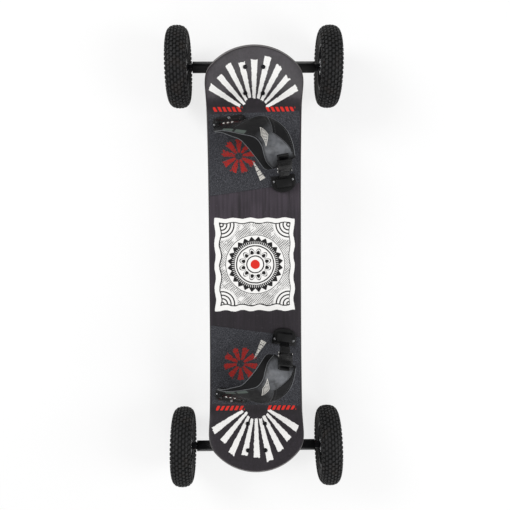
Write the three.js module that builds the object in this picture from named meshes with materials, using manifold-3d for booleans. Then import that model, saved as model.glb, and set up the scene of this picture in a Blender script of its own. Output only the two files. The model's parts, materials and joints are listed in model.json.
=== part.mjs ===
// Mountainboard: a laminated deck with upturned tips, a channel truck under each tip, four knobbly pneumatic
// wheels and two ratchet bindings. X runs to the toe side, Y to the nose, Z up. The origin is on the ground
// under the middle of the deck. Lengths are in millimetres, angles in degrees.
import * as THREE from "three";
import { mergeVertices } from "three/addons/utils/BufferGeometryUtils.js";
import Module from "manifold-3d";

const wasm = await Module();
wasm.setup();

// Clearances, shared by every piece.
const clearance = 0.3; // between two pieces that touch
const running = 0.6; // between two pieces that turn against each other
const overrun = 4; // how far a cutting shape reaches past what it cuts
const weld = 0.001; // vertices nearer than this are one

const deck = {
  length: 976, // of the top, tip to tip along Y
  thickness: 12,
  waistWidth: 221,
  noseWidth: 234, // at the nose corners, the widest place
  tailWidth: 232,
  middleFlat: 50, // length of the level stretch in the middle
  camber: 12.4, // drop from the middle to the bends
  bendInset: 135, // from each tip back to the start of its bend, along Y
  bendRadius: 60, // of the top surface
  tipAngle: 35,
  cornerInset: 56, // from each tip back to its corners, along Y
  edgeRound: 2.5,
  middleSteps: 6,
  bendSteps: 5,
};
deck.bendStart = deck.length / 2 - deck.bendInset;
deck.cornerReach = deck.length / 2 - deck.cornerInset;

const truckBolt = {
  across: 41.3, // spacing of the pattern across the deck
  along: 63.5, // and along it
  inset: 5.8, // from the end of the bend to the inner pair, along the tip
  shankRadius: 2.9,
  headRadius: 5.2,
  headHeight: 2.8,
  nutRadius: 5.6,
  nutHeight: 5,
  sides: 8,
};

const axle = {
  track: 366, // between the middles of the two tyres
  rodRadius: 5.95,
  hubGap: 14, // between each end of the beam and the hub, which a lock nut fills
  beamWidth: 24, // along the truck
  beamHeight: 22,
  beamRound: 5,
  lockNutRadius: 9.6,
  nutRadius: 9.6,
  nutLength: 5.6,
  tipStub: 0.6, // rod that shows past the outer nut
  sides: 12,
  nutSides: 6,
};

const wheel = {
  tyreDiameter: 196, // over the knobs
  tyreWidth: 49,
  knobHeight: 3.4,
  knobTaperShare: 0.14, // how far a knob's corners draw in towards its middle
  knobPitches: 26, // rows of knobs round the tyre, an even number
  rimRadius: 52, // where the tyre's beads sit
  rimWall: 4,
  rimHalfWidth: 17,
  lipHeight: 4.5,
  lipWidth: 3,
  hubHalfWidth: 20,
  bossRadius: 20,
  webThickness: 9, // of the spokes
  spokes: 5,
  spokeWidth: 15,
  shoulderRadius: 10.5,
  sides: 16,
};
wheel.crownRadius = wheel.tyreDiameter / 2;
axle.beamLength = axle.track - 2 * (wheel.hubHalfWidth + axle.hubGap);

const bearing = {
  outerRadius: 14,
  boreRadius: 6.25,
  width: 8,
  sleeveRadius: 8.5,
  sides: 14,
};

const plate = {
  width: 104,
  length: 97,
  thickness: 7,
  holeRadius: 3.2,
  windowWidth: 34, // the crescent that lightens it
  windowLength: 13,
  windowPlace: -17, // from the middle of the bolt pattern, along the truck
  archThickness: 8,
  archFootWidth: 94,
  archFootHeight: 5,
  archTopWidth: 20,
  archWindowWidth: 40,
  archWindowHeight: 15,
  bossRadius: 12.5,
  bossReach: 36, // of each boss from the middle of the bolt pattern
  cupThickness: 4,
  cupHeight: 8,
  cupLength: 34,
  cupRound: 1.3,
  outlineSteps: 26,
};

const kingpin = {
  drop: 38, // of its axis under the deck
  radius: 5,
  headRadius: 9.5,
  headHeight: 9,
  nutRadius: 9.5,
  nutHeight: 7,
  sides: 12,
};

const hanger = {
  length: 34, // between the arches, along the truck
  bossRadius: 13,
  beamDrop: 42.82, // from the kingpin's axis to the middle of the beam, square to the tip
  beamPlace: -4.82, // of the beam from the middle of the bolt pattern, along the truck
  wingWidth: 92,
  wingTopShare: 0.21, // depths of the wing, from the kingpin's axis towards the beam
  wingFloorShare: 0.37,
  wingEndShare: 0.49,
  wingBottomShare: 0.61,
  lipWidth: 5,
  neckWidth: 26,
  saddleWidth: 76,
  saddleFlange: 10, // how far its sides reach down the beam
  saddleWall: 4,
};
hanger.wingTop = kingpin.drop + hanger.beamDrop * hanger.wingTopShare;
hanger.wingFloor = kingpin.drop + hanger.beamDrop * hanger.wingFloorShare;
hanger.wingEnd = kingpin.drop + hanger.beamDrop * hanger.wingEndShare;
hanger.wingBottom = kingpin.drop + hanger.beamDrop * hanger.wingBottomShare;

const shock = {
  inner: 17.2, // from the middle to the side by the boss
  outer: 45,
  length: 33,
};

const grip = {
  thickness: 1,
  edgeInset: 2, // from the deck's waist
  rows: 8,
  innerHeelRun: 103, // from the foot's middle to its inner edge at the heel side, along Y
  innerToeRun: 72,
  outerHeelInset: 3, // from the bend to its outer edge
  outerToeInset: -4,
};

const binding = {
  bendInset: 95, // from the bend to the middle of each foot, along Y
  duckAngle: 8,
  hingePlace: 78, // from the foot's middle to the strap's hinge, towards the near tip
  hingeHeight: 16,
  span: 176, // of the pad along the foot
  padThickness: 11,
  padEdge: 4,
  padRows: 16,
  padColumns: 8,
  padSeatInset: 10, // of the pad's middle surface under the middle of the ladder, where the ratchet sits
  ankleEndAngle: 20, // about the hinge, where the pad's ankle edge ends on the ratchet
  toeEndAngle: 33, // and its toe edge
  liningEndAngle: 21, // and the lining's edge
  liningThickness: 3,
  liningLapShare: 0.2, // of the pad's width, how far the lining runs in under it
  liningStep: 2, // rows of the pad to one of the lining
  crownShare: 0.6, // the power of the sine over the pad's width: the lower, the fuller its section
};
binding.reach = deck.bendStart - binding.bendInset;

const outerMount = {
  length: 80,
  width: 32,
  thickness: 4,
  cornerRadius: 12,
  place: -48, // of its middle along the foot
  earThickness: 9,
  earRadius: 8.5,
  pinRadius: 3,
  barrelRadius: 6,
  barrelLength: 46,
  flangeThickness: 4,
  sides: 12,
};

const innerMount = {
  width: 57,
  length: 40,
  thickness: 5,
  outset: 12, // of its middle past the foot of the ladder
  blockWidth: 36,
  blockLength: 24,
  blockHeight: 17,
  blockTaper: 4,
};

const ladder = {
  radius: 150, // about the strap's hinge
  width: 22,
  thickness: 3,
  toothHeight: 1.5,
  toothPitch: 6,
  place: 58, // of its middle along the foot
  lowAngle: -3.5, // of its fixed end about the hinge
  firstToothAngle: 10,
  topAngle: 42,
  toothLeanShare: 0.7, // where in its pitch each tooth stands highest
};
binding.padSeat = ladder.radius - binding.padSeatInset;
innerMount.place = binding.hingePlace - ladder.radius - innerMount.outset;

const ratchet = {
  angle: 30, // of its middle about the hinge
  length: 32,
  width: 31,
  baseThickness: 2,
  wallThickness: 2.5,
  wallHeight: 13.6,
  baseGap: 1.4, // under the ladder
  pinRadius: 2,
  bossRadius: 3.2,
  pinHeight: 7.2, // of both pins over the middle of the ladder
  leverPin: 1, // from the middle towards the inner mount
  leverLength: 36, // from the near face of its boss to the tip of its handle
  leverThickness: 3.2,
  leverLift: 3.6, // of the handle over its pin
  releasePin: 12,
  releaseLength: 15,
  releaseThickness: 2.6,
  sides: 12,
};

const colours = {
  lacquer: [0x29252a, 0.35, 0],
  gripSheet: [0x3b3b3f, 0.95, 0],
  paintedMetal: [0x161617, 0.4, 0.7],
  steel: [0x8c8c8e, 0.3, 1],
  rubber: [0x1b1b1c, 0.85, 0],
  elastomer: [0xc8401f, 0.5, 0],
  moulded: [0x141415, 0.45, 0],
  padding: [0x202023, 0.75, 0],
};

// General shapes.

function material([color, roughness, metalness]) {
  return new THREE.MeshStandardMaterial({ color, roughness, metalness });
}

// A closed geometry as a solid that can be joined and cut.
function solid(geometry) {
  const loose = geometry.index ? geometry.toNonIndexed() : geometry;
  const bare = new THREE.BufferGeometry().setAttribute("position", loose.getAttribute("position"));
  const merged = mergeVertices(bare, weld);
  return new wasm.Manifold(
    new wasm.Mesh({
      numProp: 3,
      vertProperties: merged.attributes.position.array,
      triVerts: new Uint32Array(merged.index.array),
    }),
  );
}

// The solid's surface as a geometry again.
function surface(body) {
  const found = body.getMesh();
  const geometry = new THREE.BufferGeometry();
  geometry.setAttribute("position", new THREE.BufferAttribute(found.vertProperties, 3));
  geometry.setIndex(new THREE.BufferAttribute(found.triVerts, 1));
  geometry.computeVertexNormals();
  return geometry;
}

function join(first, ...others) {
  return others.reduce((whole, piece) => whole.add(piece), first);
}

function cut(first, ...others) {
  return others.reduce((whole, piece) => whole.subtract(piece), first);
}

function named(name, body, look) {
  const mesh = new THREE.Mesh(body.isBufferGeometry ? body : surface(body), material(look));
  mesh.name = name;
  return mesh;
}

// Extrudes an outline of [a, b] points, or a Shape, from one place on an axis to another. Across x the
// outline lies in y and z, across y in x and z, and across z in x and y.
const outlinePlanes = {
  x: new THREE.Matrix4().set(0, 0, 1, 0, 1, 0, 0, 0, 0, 1, 0, 0, 0, 0, 0, 1),
  y: new THREE.Matrix4().set(1, 0, 0, 0, 0, 0, -1, 0, 0, 1, 0, 0, 0, 0, 0, 1),
  z: new THREE.Matrix4(),
};

function slab(axis, outline, from, to, curveSegments = 6) {
  const points = outline instanceof THREE.Shape ? [] : outline.map((p) => new THREE.Vector2(...p));
  const shape = outline instanceof THREE.Shape ? outline : new THREE.Shape(points);
  const depth = to - from;
  const geometry = new THREE.ExtrudeGeometry(shape, { depth, bevelEnabled: false, curveSegments });
  geometry.translate(0, 0, axis === "y" ? -to : from);
  return solid(geometry.applyMatrix4(outlinePlanes[axis]));
}

// A round bar along an axis, between two places on it.
const barTurns = {
  x: new THREE.Matrix4().makeRotationZ(-Math.PI / 2),
  y: new THREE.Matrix4(),
  z: new THREE.Matrix4().makeRotationX(Math.PI / 2),
};

function bar(axis, radius, from, to, sides) {
  return turned(axis, [[0, from], [radius, from], [radius, to], [0, to]], sides);
}

// Turns a closed profile of [radius, place] points about an axis.
function turned(axis, profile, sides) {
  const points = profile.map((p) => new THREE.Vector2(...p));
  if (points[0].x > 0) points.push(points[0].clone());
  const geometry = new THREE.LatheGeometry(points, sides);
  return solid(geometry.applyMatrix4(barTurns[axis]));
}

// A closed skin over rings of points: each ring is joined to the next, and the first and last are filled.
function loft(rings) {
  const count = rings[0].length;
  const positions = rings.flat().flatMap((p) => [p.x, p.y, p.z]);
  const index = [];
  for (let r = 0; r + 1 < rings.length; r += 1) {
    for (let k = 0; k < count; k += 1) {
      const a = r * count + k;
      const b = r * count + ((k + 1) % count);
      index.push(a, b, a + count, b, b + count, a + count);
    }
  }
  const last = (rings.length - 1) * count;
  for (let k = 1; k + 1 < count; k += 1) {
    index.push(0, k + 1, k, last, last + k, last + k + 1);
  }
  const geometry = new THREE.BufferGeometry();
  geometry.setAttribute("position", new THREE.Float32BufferAttribute(positions, 3));
  geometry.setIndex(index);
  return outward(geometry);
}

// Turns every face round if the skin encloses its volume inside out.
function outward(geometry) {
  const body = solid(geometry);
  if (body.volume() > 0) return body;
  const index = geometry.index.array;
  const flipped = Array.from(index, (_, i) => index[i % 3 === 0 ? i : i % 3 === 1 ? i + 1 : i - 1]);
  geometry.setIndex(flipped);
  return solid(geometry);
}

function moved(body, x, y, z) {
  return body.translate([x, y, z]);
}

function radians(degrees) {
  return THREE.MathUtils.degToRad(degrees);
}

function roundedRectangle(width, height, radius) {
  const [x, y] = [width / 2 - radius, height / 2 - radius];
  const shape = new THREE.Shape();
  shape.absarc(x, y, radius, 0, Math.PI / 2);
  shape.absarc(-x, y, radius, Math.PI / 2, Math.PI);
  shape.absarc(-x, -y, radius, Math.PI, Math.PI * 1.5);
  shape.absarc(x, -y, radius, Math.PI * 1.5, Math.PI * 2);
  shape.closePath();
  return shape;
}

// The deck: its side view is a level stretch, a slow camber, a tight bend and a straight tip.

const camberRadius = (deck.bendStart - deck.middleFlat / 2) ** 2 / (2 * deck.camber);
const camberSweep = Math.asin((deck.bendStart - deck.middleFlat / 2) / camberRadius);
const tipSlope = radians(deck.tipAngle);
const bendPlace = deck.middleFlat / 2 + camberRadius * camberSweep;
const tipPlace = bendPlace + deck.bendRadius * (tipSlope + camberSweep);

// The point of the top surface at a distance along it from its middle, from which z counts, and the slope
// there.
function deckPoint(along) {
  const s = Math.abs(along);
  const side = Math.sign(along) || 1;
  let y = s;
  let z = 0;
  let slope = 0;
  if (s > deck.middleFlat / 2) {
    const sweep = Math.min((s - deck.middleFlat / 2) / camberRadius, camberSweep);
    y = deck.middleFlat / 2 + camberRadius * Math.sin(sweep);
    z -= camberRadius * (1 - Math.cos(sweep));
    slope = -sweep;
  }
  if (s > bendPlace) {
    slope = Math.min((s - bendPlace) / deck.bendRadius - camberSweep, tipSlope);
    y += deck.bendRadius * (Math.sin(camberSweep) + Math.sin(slope));
    z += deck.bendRadius * (Math.cos(camberSweep) - Math.cos(slope));
  }
  if (s > tipPlace) {
    y += (s - tipPlace) * Math.cos(tipSlope);
    z += (s - tipPlace) * Math.sin(tipSlope);
  }
  return { y: side * y, z, slope: side * slope };
}

const tipFoot = deckPoint(tipPlace);
const deckEnd = tipPlace + (deck.length / 2 - tipFoot.y) / Math.cos(tipSlope);
const cornerPlace = tipPlace + (deck.cornerReach - tipFoot.y) / Math.cos(tipSlope);

// Each truck's own frame: x as the deck's, y out along the tip, z up square to it, and its origin under the
// deck in the middle of the bolt pattern. The beam's place in it sets the wheelbase, and with the wheels on
// the ground it sets the deck's height.
const patternPlace = tipPlace + truckBolt.inset + truckBolt.along / 2;
const patternTop = deckPoint(patternPlace);
const beamDepth = kingpin.drop + hanger.beamDrop;
const truckReach = patternTop.y + deck.thickness * Math.sin(tipSlope);
const axleReach = truckReach + hanger.beamPlace * Math.cos(tipSlope) + beamDepth * Math.sin(tipSlope);
const beamRise = hanger.beamPlace * Math.sin(tipSlope) - beamDepth * Math.cos(tipSlope);
const truckHeight = wheel.crownRadius - beamRise;
const deckTop = truckHeight + deck.thickness * Math.cos(tipSlope) - patternTop.z;
const truckFrame = new THREE.Matrix4()
  .makeTranslation(0, truckReach, truckHeight)
  .multiply(new THREE.Matrix4().makeRotationX(tipSlope));
const halfTurn = new THREE.Matrix4().makeRotationZ(Math.PI);
const endFrames = { front: new THREE.Matrix4(), rear: halfTurn };

// The height of the top surface over a place on Y, within the camber.
function deckHeight(y) {
  const reach = Math.max(Math.abs(y) - deck.middleFlat / 2, 0);
  return deckTop - camberRadius + Math.sqrt(camberRadius ** 2 - reach ** 2);
}

// Stations along one half of the deck, each with the half width there. The tip's outline is an arc through
// both corners, and each corner is eased by leaving its own point out.
function deckStations(widest) {
  const half = widest / 2;
  const waist = deck.waistWidth / 2;
  const rise = deckEnd - cornerPlace;
  const arcRadius = (half ** 2 + rise ** 2) / (2 * rise);
  const arcCentre = deckEnd - arcRadius;
  const sideWidth = (s) => waist + (half - waist) * (s / cornerPlace) ** 3;
  const stations = [];
  for (let i = 0; i <= deck.middleSteps; i += 1) {
    const s = deck.middleFlat / 2 + ((bendPlace - deck.middleFlat / 2) * i) / deck.middleSteps;
    stations.push([s, sideWidth(s)]);
  }
  for (let i = 1; i <= deck.bendSteps; i += 1) {
    const s = bendPlace + ((tipPlace - bendPlace) * i) / deck.bendSteps;
    stations.push([s, sideWidth(s)]);
  }
  const easedShare = 0.8; // of the straight part of the tip that stays straight
  const eased = tipPlace + (cornerPlace - tipPlace) * easedShare;
  stations.push([eased, sideWidth(eased)]);
  const widestTurn = Math.asin(half / arcRadius);
  const turnShares = [0.9, 0.78, 0.64, 0.5, 0.37, 0.24, 0.12];
  for (const share of turnShares) {
    const turn = widestTurn * share;
    stations.push([arcCentre + arcRadius * Math.cos(turn), arcRadius * Math.sin(turn)]);
  }
  return stations;
}

function deckRing(s, halfWidth) {
  const { y, z, slope } = deckPoint(s);
  const e = deck.edgeRound;
  const section = [
    [-halfWidth + e, 0],
    [halfWidth - e, 0],
    [halfWidth, e],
    [halfWidth, deck.thickness - e],
    [halfWidth - e, deck.thickness],
    [-halfWidth + e, deck.thickness],
    [-halfWidth, deck.thickness - e],
    [-halfWidth, e],
  ];
  return section.map(
    ([x, depth]) => new THREE.Vector3(x, y + depth * Math.sin(slope), deckTop + z - depth * Math.cos(slope)),
  );
}

const boltPlaces = [[-1, -1], [1, -1], [-1, 1], [1, 1]].map(([across, along]) => ({
  across,
  along,
  x: (across * truckBolt.across) / 2,
  y: (along * truckBolt.along) / 2,
}));

// The name of a side of a truck, whose own x runs to the right at the front and to the left at the rear.
function sideName(end, across) {
  return (end === "front") === (across > 0) ? "right" : "left";
}

function boltHoles(radius, from, to) {
  return boltPlaces.map(({ x, y }) => moved(bar("z", radius, from, to, truckBolt.sides), x, y, 0));
}

function makeDeck() {
  const nose = deckStations(deck.noseWidth).map(([s, w]) => deckRing(s, w));
  const tail = deckStations(deck.tailWidth).map(([s, w]) => deckRing(-s, w));
  const board = loft([...tail.reverse(), ...nose]);
  const holes = Object.values(endFrames).flatMap((frame) => {
    const place = new THREE.Matrix4().multiplyMatrices(frame, truckFrame);
    return boltHoles(plate.holeRadius, -overrun, deck.thickness + overrun).map((hole) =>
      hole.transform(place.elements),
    );
  });
  return named("deck", cut(board, ...holes), colours.lacquer);
}

// A grip sheet lies on the camber, and both of its ends are slanted.
function makeGrip(name, end) {
  const half = deck.waistWidth / 2 - grip.edgeInset;
  const columns = [-1, 1];
  const rings = [];
  for (let i = 0; i <= grip.rows; i += 1) {
    const share = i / grip.rows;
    const places = columns.map((column) => {
      const inner = binding.reach - (column < 0 ? grip.innerHeelRun : grip.innerToeRun);
      const outer = deck.bendStart - (column < 0 ? grip.outerHeelInset : grip.outerToeInset);
      return { x: column * half, y: inner + (outer - inner) * share };
    });
    const lower = places.map(({ x, y }) => new THREE.Vector3(x, end * y, deckHeight(y) + clearance));
    const upper = lower.map((p) => p.clone().setZ(p.z + grip.thickness)).reverse();
    rings.push([...lower, ...upper]);
  }
  return named(name, loft(rings), colours.gripSheet);
}

// The truck.

// The plate's outline: bulging sides, two lobes at each end and a notch between them.
function plateOutline() {
  const quarterShares = [
    [0, 0.74],
    [0.2, 0.83],
    [0.42, 1],
    [0.7, 0.9],
    [0.9, 0.5],
    [1, 0],
  ];
  const ring = [
    ...quarterShares,
    ...quarterShares.slice(0, -1).reverse().map(([x, y]) => [x, -y]),
    ...quarterShares.slice(1).map(([x, y]) => [-x, -y]),
    ...quarterShares.slice(1, -1).reverse().map(([x, y]) => [-x, y]),
  ];
  const points = ring.map(([x, y]) => new THREE.Vector3((x * plate.width) / 2, (y * plate.length) / 2, 0));
  const curve = new THREE.CatmullRomCurve3(points, true, "centripetal");
  return curve.getPoints(plate.outlineSteps).slice(0, -1).map((p) => [p.x, p.y]);
}

// One arch that carries the kingpin: two ribs from the plate's edges up to a boss, open between them. The
// boss reaches past the ribs, over the bolts.
function arch(side) {
  const inside = hanger.length / 2 + running;
  const outside = inside + plate.archThickness;
  const [from, to] = side < 0 ? [-outside, -inside] : [inside, outside];
  const [bossFrom, bossTo] = side < 0 ? [-plate.bossReach, -inside] : [inside, plate.bossReach];
  const sink = plate.thickness / 2;
  const foot = plate.archFootWidth / 2;
  const top = plate.archTopWidth / 2;
  const crest = kingpin.drop + plate.bossRadius / 2;
  const ribs = slab(
    "y",
    [
      [-foot, -sink],
      [-foot, -plate.thickness - plate.archFootHeight],
      [-top, -crest],
      [top, -crest],
      [foot, -plate.thickness - plate.archFootHeight],
      [foot, -sink],
    ],
    from,
    to,
  );
  const boss = moved(bar("y", plate.bossRadius, bossFrom, bossTo, kingpin.sides), 0, 0, -kingpin.drop);
  const window = slab(
    "y",
    [
      [-plate.archWindowWidth / 2, -plate.thickness],
      [plate.archWindowWidth / 2, -plate.thickness],
      [0, -plate.thickness - plate.archWindowHeight],
    ],
    from - overrun,
    to + overrun,
  );
  return join(cut(ribs, window), boss);
}

function makeBaseplate(end) {
  const base = slab("z", plateOutline(), -plate.thickness, -clearance);
  const cups = [-1, 1].map((side) => {
    const edge = shock.outer + clearance;
    const outline = roundedRectangle(plate.cupThickness, plate.cupLength, plate.cupRound);
    const cup = slab("z", outline, -plate.thickness - plate.cupHeight, -plate.thickness / 2, 1);
    return moved(cup, side * (edge + plate.cupThickness / 2), 0, 0);
  });
  const crescent = new THREE.Shape();
  crescent.absellipse(0, plate.windowPlace, plate.windowWidth / 2, plate.windowLength / 2, 0, Math.PI * 2);
  const bore = bar(
    "y",
    kingpin.radius + clearance,
    -plate.bossReach - overrun,
    plate.bossReach + overrun,
    kingpin.sides,
  );
  return named(
    `baseplate_${end}`,
    cut(
      join(base, arch(-1), arch(1), ...cups),
      slab("z", crescent, -plate.thickness - clearance, overrun),
      moved(bore, 0, 0, -kingpin.drop),
      ...boltHoles(plate.holeRadius, -plate.thickness - overrun, overrun),
    ),
    colours.paintedMetal,
  );
}

// The hanger: a boss on the kingpin, a gull-wing that cups the two shock blocks, and a saddle on the beam.
function makeHanger(end) {
  const half = hanger.length / 2;
  const wing = hanger.wingWidth / 2;
  const neck = hanger.neckWidth / 2;
  const lip = wing - hanger.lipWidth;
  const boss = moved(bar("y", hanger.bossRadius, -half, half, kingpin.sides), 0, 0, -kingpin.drop);
  const gull = slab(
    "y",
    [
      [-wing, -hanger.wingTop],
      [-wing + hanger.lipWidth / 2, -hanger.wingEnd],
      [-neck, -hanger.wingBottom],
      [neck, -hanger.wingBottom],
      [wing - hanger.lipWidth / 2, -hanger.wingEnd],
      [wing, -hanger.wingTop],
      [lip, -hanger.wingTop],
      [lip - hanger.lipWidth / 2, -hanger.wingFloor],
      [shock.inner, -hanger.wingFloor],
      [neck, -kingpin.drop],
      [-neck, -kingpin.drop],
      [-shock.inner, -hanger.wingFloor],
      [-lip + hanger.lipWidth / 2, -hanger.wingFloor],
      [-lip, -hanger.wingTop],
    ],
    -half,
    half,
  );
  const beamTop = beamDepth - axle.beamHeight / 2;
  const saddle = slab(
    "z",
    roundedRectangle(hanger.saddleWidth, axle.beamWidth + 2 * hanger.saddleWall, hanger.saddleWall),
    -beamTop - hanger.saddleFlange,
    -hanger.wingEnd,
    2,
  );
  const channel = slab(
    "x",
    roundedRectangle(axle.beamWidth + 2 * clearance, axle.beamHeight + 2 * clearance, axle.beamRound),
    -hanger.saddleWidth,
    hanger.saddleWidth,
    2,
  );
  const bore = moved(
    bar("y", kingpin.radius + clearance, -half - overrun, half + overrun, kingpin.sides),
    0, 0, -kingpin.drop,
  );
  const body = join(boss, gull, moved(saddle, 0, hanger.beamPlace, 0));
  const cast = cut(body, moved(channel, 0, hanger.beamPlace, -beamDepth), bore);
  return named(`hanger_${end}`, cast, colours.paintedMetal);
}

function makeShock(end, side) {
  const lip = hanger.wingWidth / 2 - hanger.lipWidth;
  const outline = [
    [shock.inner, -plate.thickness - clearance],
    [shock.outer, -plate.thickness - clearance],
    [lip - running, -hanger.wingTop],
    [lip - hanger.lipWidth / 2 - running, -hanger.wingFloor + clearance],
    [shock.inner + running, -hanger.wingFloor + clearance],
    [hanger.neckWidth / 2 + running, -kingpin.drop],
  ].map(([x, z]) => [side * x, z]);
  const body = slab("y", outline, -shock.length / 2, shock.length / 2);
  return named(`shock_block_${end}_${sideName(end, side)}`, body, colours.elastomer);
}

function makeKingpin(end) {
  const seat = plate.bossReach + clearance;
  const body = turned(
    "y",
    [
      [0, -seat - kingpin.nutHeight],
      [kingpin.nutRadius, -seat - kingpin.nutHeight],
      [kingpin.nutRadius, -seat],
      [kingpin.radius, -seat],
      [kingpin.radius, seat],
      [kingpin.headRadius, seat],
      [kingpin.headRadius, seat + kingpin.headHeight / 2],
      [kingpin.headRadius / 2, seat + kingpin.headHeight],
      [0, seat + kingpin.headHeight],
    ],
    kingpin.sides,
  );
  return named(`kingpin_${end}`, moved(body, 0, 0, -kingpin.drop), colours.steel);
}

// A truck bolt comes down through the deck and the plate, and its nut is under the plate.
function makeTruckBolt(end, { across, along, x, y }) {
  const place = `${along < 0 ? "inner" : "outer"}_${sideName(end, across)}`;
  const seat = deck.thickness + clearance;
  const under = -plate.thickness - clearance;
  const crownShare = 0.6;
  const body = turned(
    "z",
    [
      [0, under - truckBolt.nutHeight],
      [truckBolt.nutRadius, under - truckBolt.nutHeight],
      [truckBolt.nutRadius, under],
      [truckBolt.shankRadius, under],
      [truckBolt.shankRadius, seat],
      [truckBolt.headRadius, seat],
      [truckBolt.headRadius * crownShare, seat + truckBolt.headHeight],
      [0, seat + truckBolt.headHeight],
    ],
    truckBolt.sides,
  );
  return named(`truck_bolt_${end}_${place}`, moved(body, x, y, 0), colours.steel);
}

function makeBeam(end) {
  const half = axle.beamLength / 2;
  const section = roundedRectangle(axle.beamWidth, axle.beamHeight, axle.beamRound);
  const body = cut(
    slab("x", section, -half, half, 2),
    bar("x", axle.rodRadius + clearance, -half - overrun, half + overrun, axle.sides),
  );
  return named(`axle_beam_${end}`, moved(body, 0, hanger.beamPlace, -beamDepth), colours.paintedMetal);
}

const hubOutside = axle.track / 2 + wheel.hubHalfWidth;
const hubInside = axle.track / 2 - wheel.hubHalfWidth;

// The rod runs right through the beam. A lock nut on it fills the space between the beam and each hub.
function makeRod(end) {
  const tip = hubOutside + clearance + axle.nutLength + axle.tipStub;
  const rod = bar("x", axle.rodRadius, -tip, tip, axle.sides);
  const lockNuts = [-1, 1].map((side) => {
    const near = axle.beamLength / 2 + clearance;
    const far = hubInside - clearance;
    const places = side < 0 ? [-far, -near] : [near, far];
    return bar("x", axle.lockNutRadius, ...places, axle.nutSides);
  });
  const body = moved(join(rod, ...lockNuts), 0, hanger.beamPlace, -beamDepth);
  return named(`axle_rod_${end}`, body, colours.steel);
}

// The wheel, about X, with its middle plane at zero and its outer side at positive X.

// The tyre's section has five cells across the crown. On even pitches the middle and shoulder cells stand
// up as knobs, on odd pitches the two between them, so the knobs lie staggered.
function makeTyre() {
  const seat = wheel.rimRadius + clearance;
  const height = wheel.crownRadius - wheel.knobHeight - seat;
  const sectionShares = [
    [0.61, 0],
    [0.64, 0.13],
    [0.98, 0.4],
    [0.88, 0.8],
    [0.54, 0.95],
    [0.18, 1],
  ];
  const sideways = sectionShares.map(([x, r]) => [(x * wheel.tyreWidth) / 2, seat + r * height]);
  const section = [...sideways.map(([x, r]) => [-x, r]), ...sideways.reverse()];
  const crownCells = { even: [3, 5, 7], odd: [4, 6] };
  const pitch = (2 * Math.PI) / wheel.knobPitches;
  const apothemRatio = 1 / Math.cos(pitch / 2);
  const triangles = [];
  const point = (k, i, lift) => {
    const [x, r] = section[k % section.length];
    const turn = (i - 0.5) * pitch;
    const lifted = (r + lift) * apothemRatio;
    return new THREE.Vector3(x, lifted * Math.sin(turn), -lifted * Math.cos(turn));
  };
  const corners = [[0, 0], [1, 0], [1, 1], [0, 1]];
  const cell = (k, i, lift) => corners.map(([dk, di]) => point(k + dk, i + di, lift));
  const face = (a, b, c, d) => triangles.push(a, b, c, a, c, d);
  for (let i = 0; i < wheel.knobPitches; i += 1) {
    const raised = i % 2 === 0 ? crownCells.even : crownCells.odd;
    section.forEach((_, k) => {
      const foot = cell(k, i, 0);
      if (!raised.includes(k)) {
        face(...foot);
        return;
      }
      const square = cell(k, i, wheel.knobHeight);
      const middle = square.reduce((sum, corner) => sum.add(corner), new THREE.Vector3());
      middle.divideScalar(square.length);
      const top = square.map((corner) => corner.lerp(middle, wheel.knobTaperShare));
      face(...top);
      foot.forEach((corner, n) => {
        const next = (n + 1) % foot.length;
        face(corner, foot[next], top[next], top[n]);
      });
    });
  }
  const geometry = new THREE.BufferGeometry().setFromPoints(triangles);
  geometry.setIndex(triangles.map((_, n) => n));
  return outward(geometry);
}

// One half of the hub: a rim with its lip, a web cut into spokes, and a boss with a stepped bearing seat.
function makeHubHalf() {
  const mid = clearance / 2;
  const seat = wheel.rimRadius;
  const lipRadius = seat + wheel.lipHeight;
  const lipPlace = wheel.rimHalfWidth;
  const bore = bearing.outerRadius + clearance;
  const shoulder = wheel.hubHalfWidth - bearing.width - clearance;
  const inside = seat - wheel.rimWall;
  const body = turned(
    "x",
    [
      [wheel.shoulderRadius, mid],
      [seat, mid],
      [seat, lipPlace],
      [lipRadius, lipPlace + wheel.lipWidth / 2],
      [lipRadius, lipPlace + wheel.lipWidth],
      [inside, lipPlace + wheel.lipWidth],
      [inside, wheel.webThickness],
      [wheel.bossRadius, wheel.webThickness],
      [wheel.bossRadius, wheel.hubHalfWidth],
      [bore, wheel.hubHalfWidth],
      [bore, shoulder],
      [wheel.shoulderRadius, shoulder],
    ],
    wheel.sides,
  );
  const step = (2 * Math.PI) / wheel.spokes;
  const low = wheel.bossRadius + running;
  const high = inside - running;
  const windows = Array.from({ length: wheel.spokes }, (_, n) => {
    const edge = (radius) => step / 2 - Math.asin(wheel.spokeWidth / 2 / radius);
    const [inner, outer] = [edge(low), edge(high)];
    const shape = new THREE.Shape();
    shape.absarc(0, 0, high, n * step - outer, n * step + outer, false);
    shape.absarc(0, 0, low, n * step + inner, n * step - inner, true);
    shape.closePath();
    return slab("x", shape, -overrun, wheel.hubHalfWidth + overrun, 1);
  });
  return cut(body, ...windows);
}

// Two bearings and the sleeve that keeps them apart on the rod.
function makeBearingSet() {
  const out = wheel.hubHalfWidth;
  const inward = out - bearing.width;
  return turned(
    "x",
    [
      [bearing.boreRadius, -out],
      [bearing.outerRadius, -out],
      [bearing.outerRadius, -inward],
      [bearing.sleeveRadius, -inward],
      [bearing.sleeveRadius, inward],
      [bearing.outerRadius, inward],
      [bearing.outerRadius, out],
      [bearing.boreRadius, out],
    ],
    bearing.sides,
  );
}

function makeAxleNut() {
  const from = wheel.hubHalfWidth + clearance;
  return cut(
    bar("x", axle.nutRadius, from, from + axle.nutLength, axle.nutSides),
    bar("x", axle.rodRadius + clearance, from - overrun, from + axle.nutLength + overrun, axle.sides),
  );
}

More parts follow.
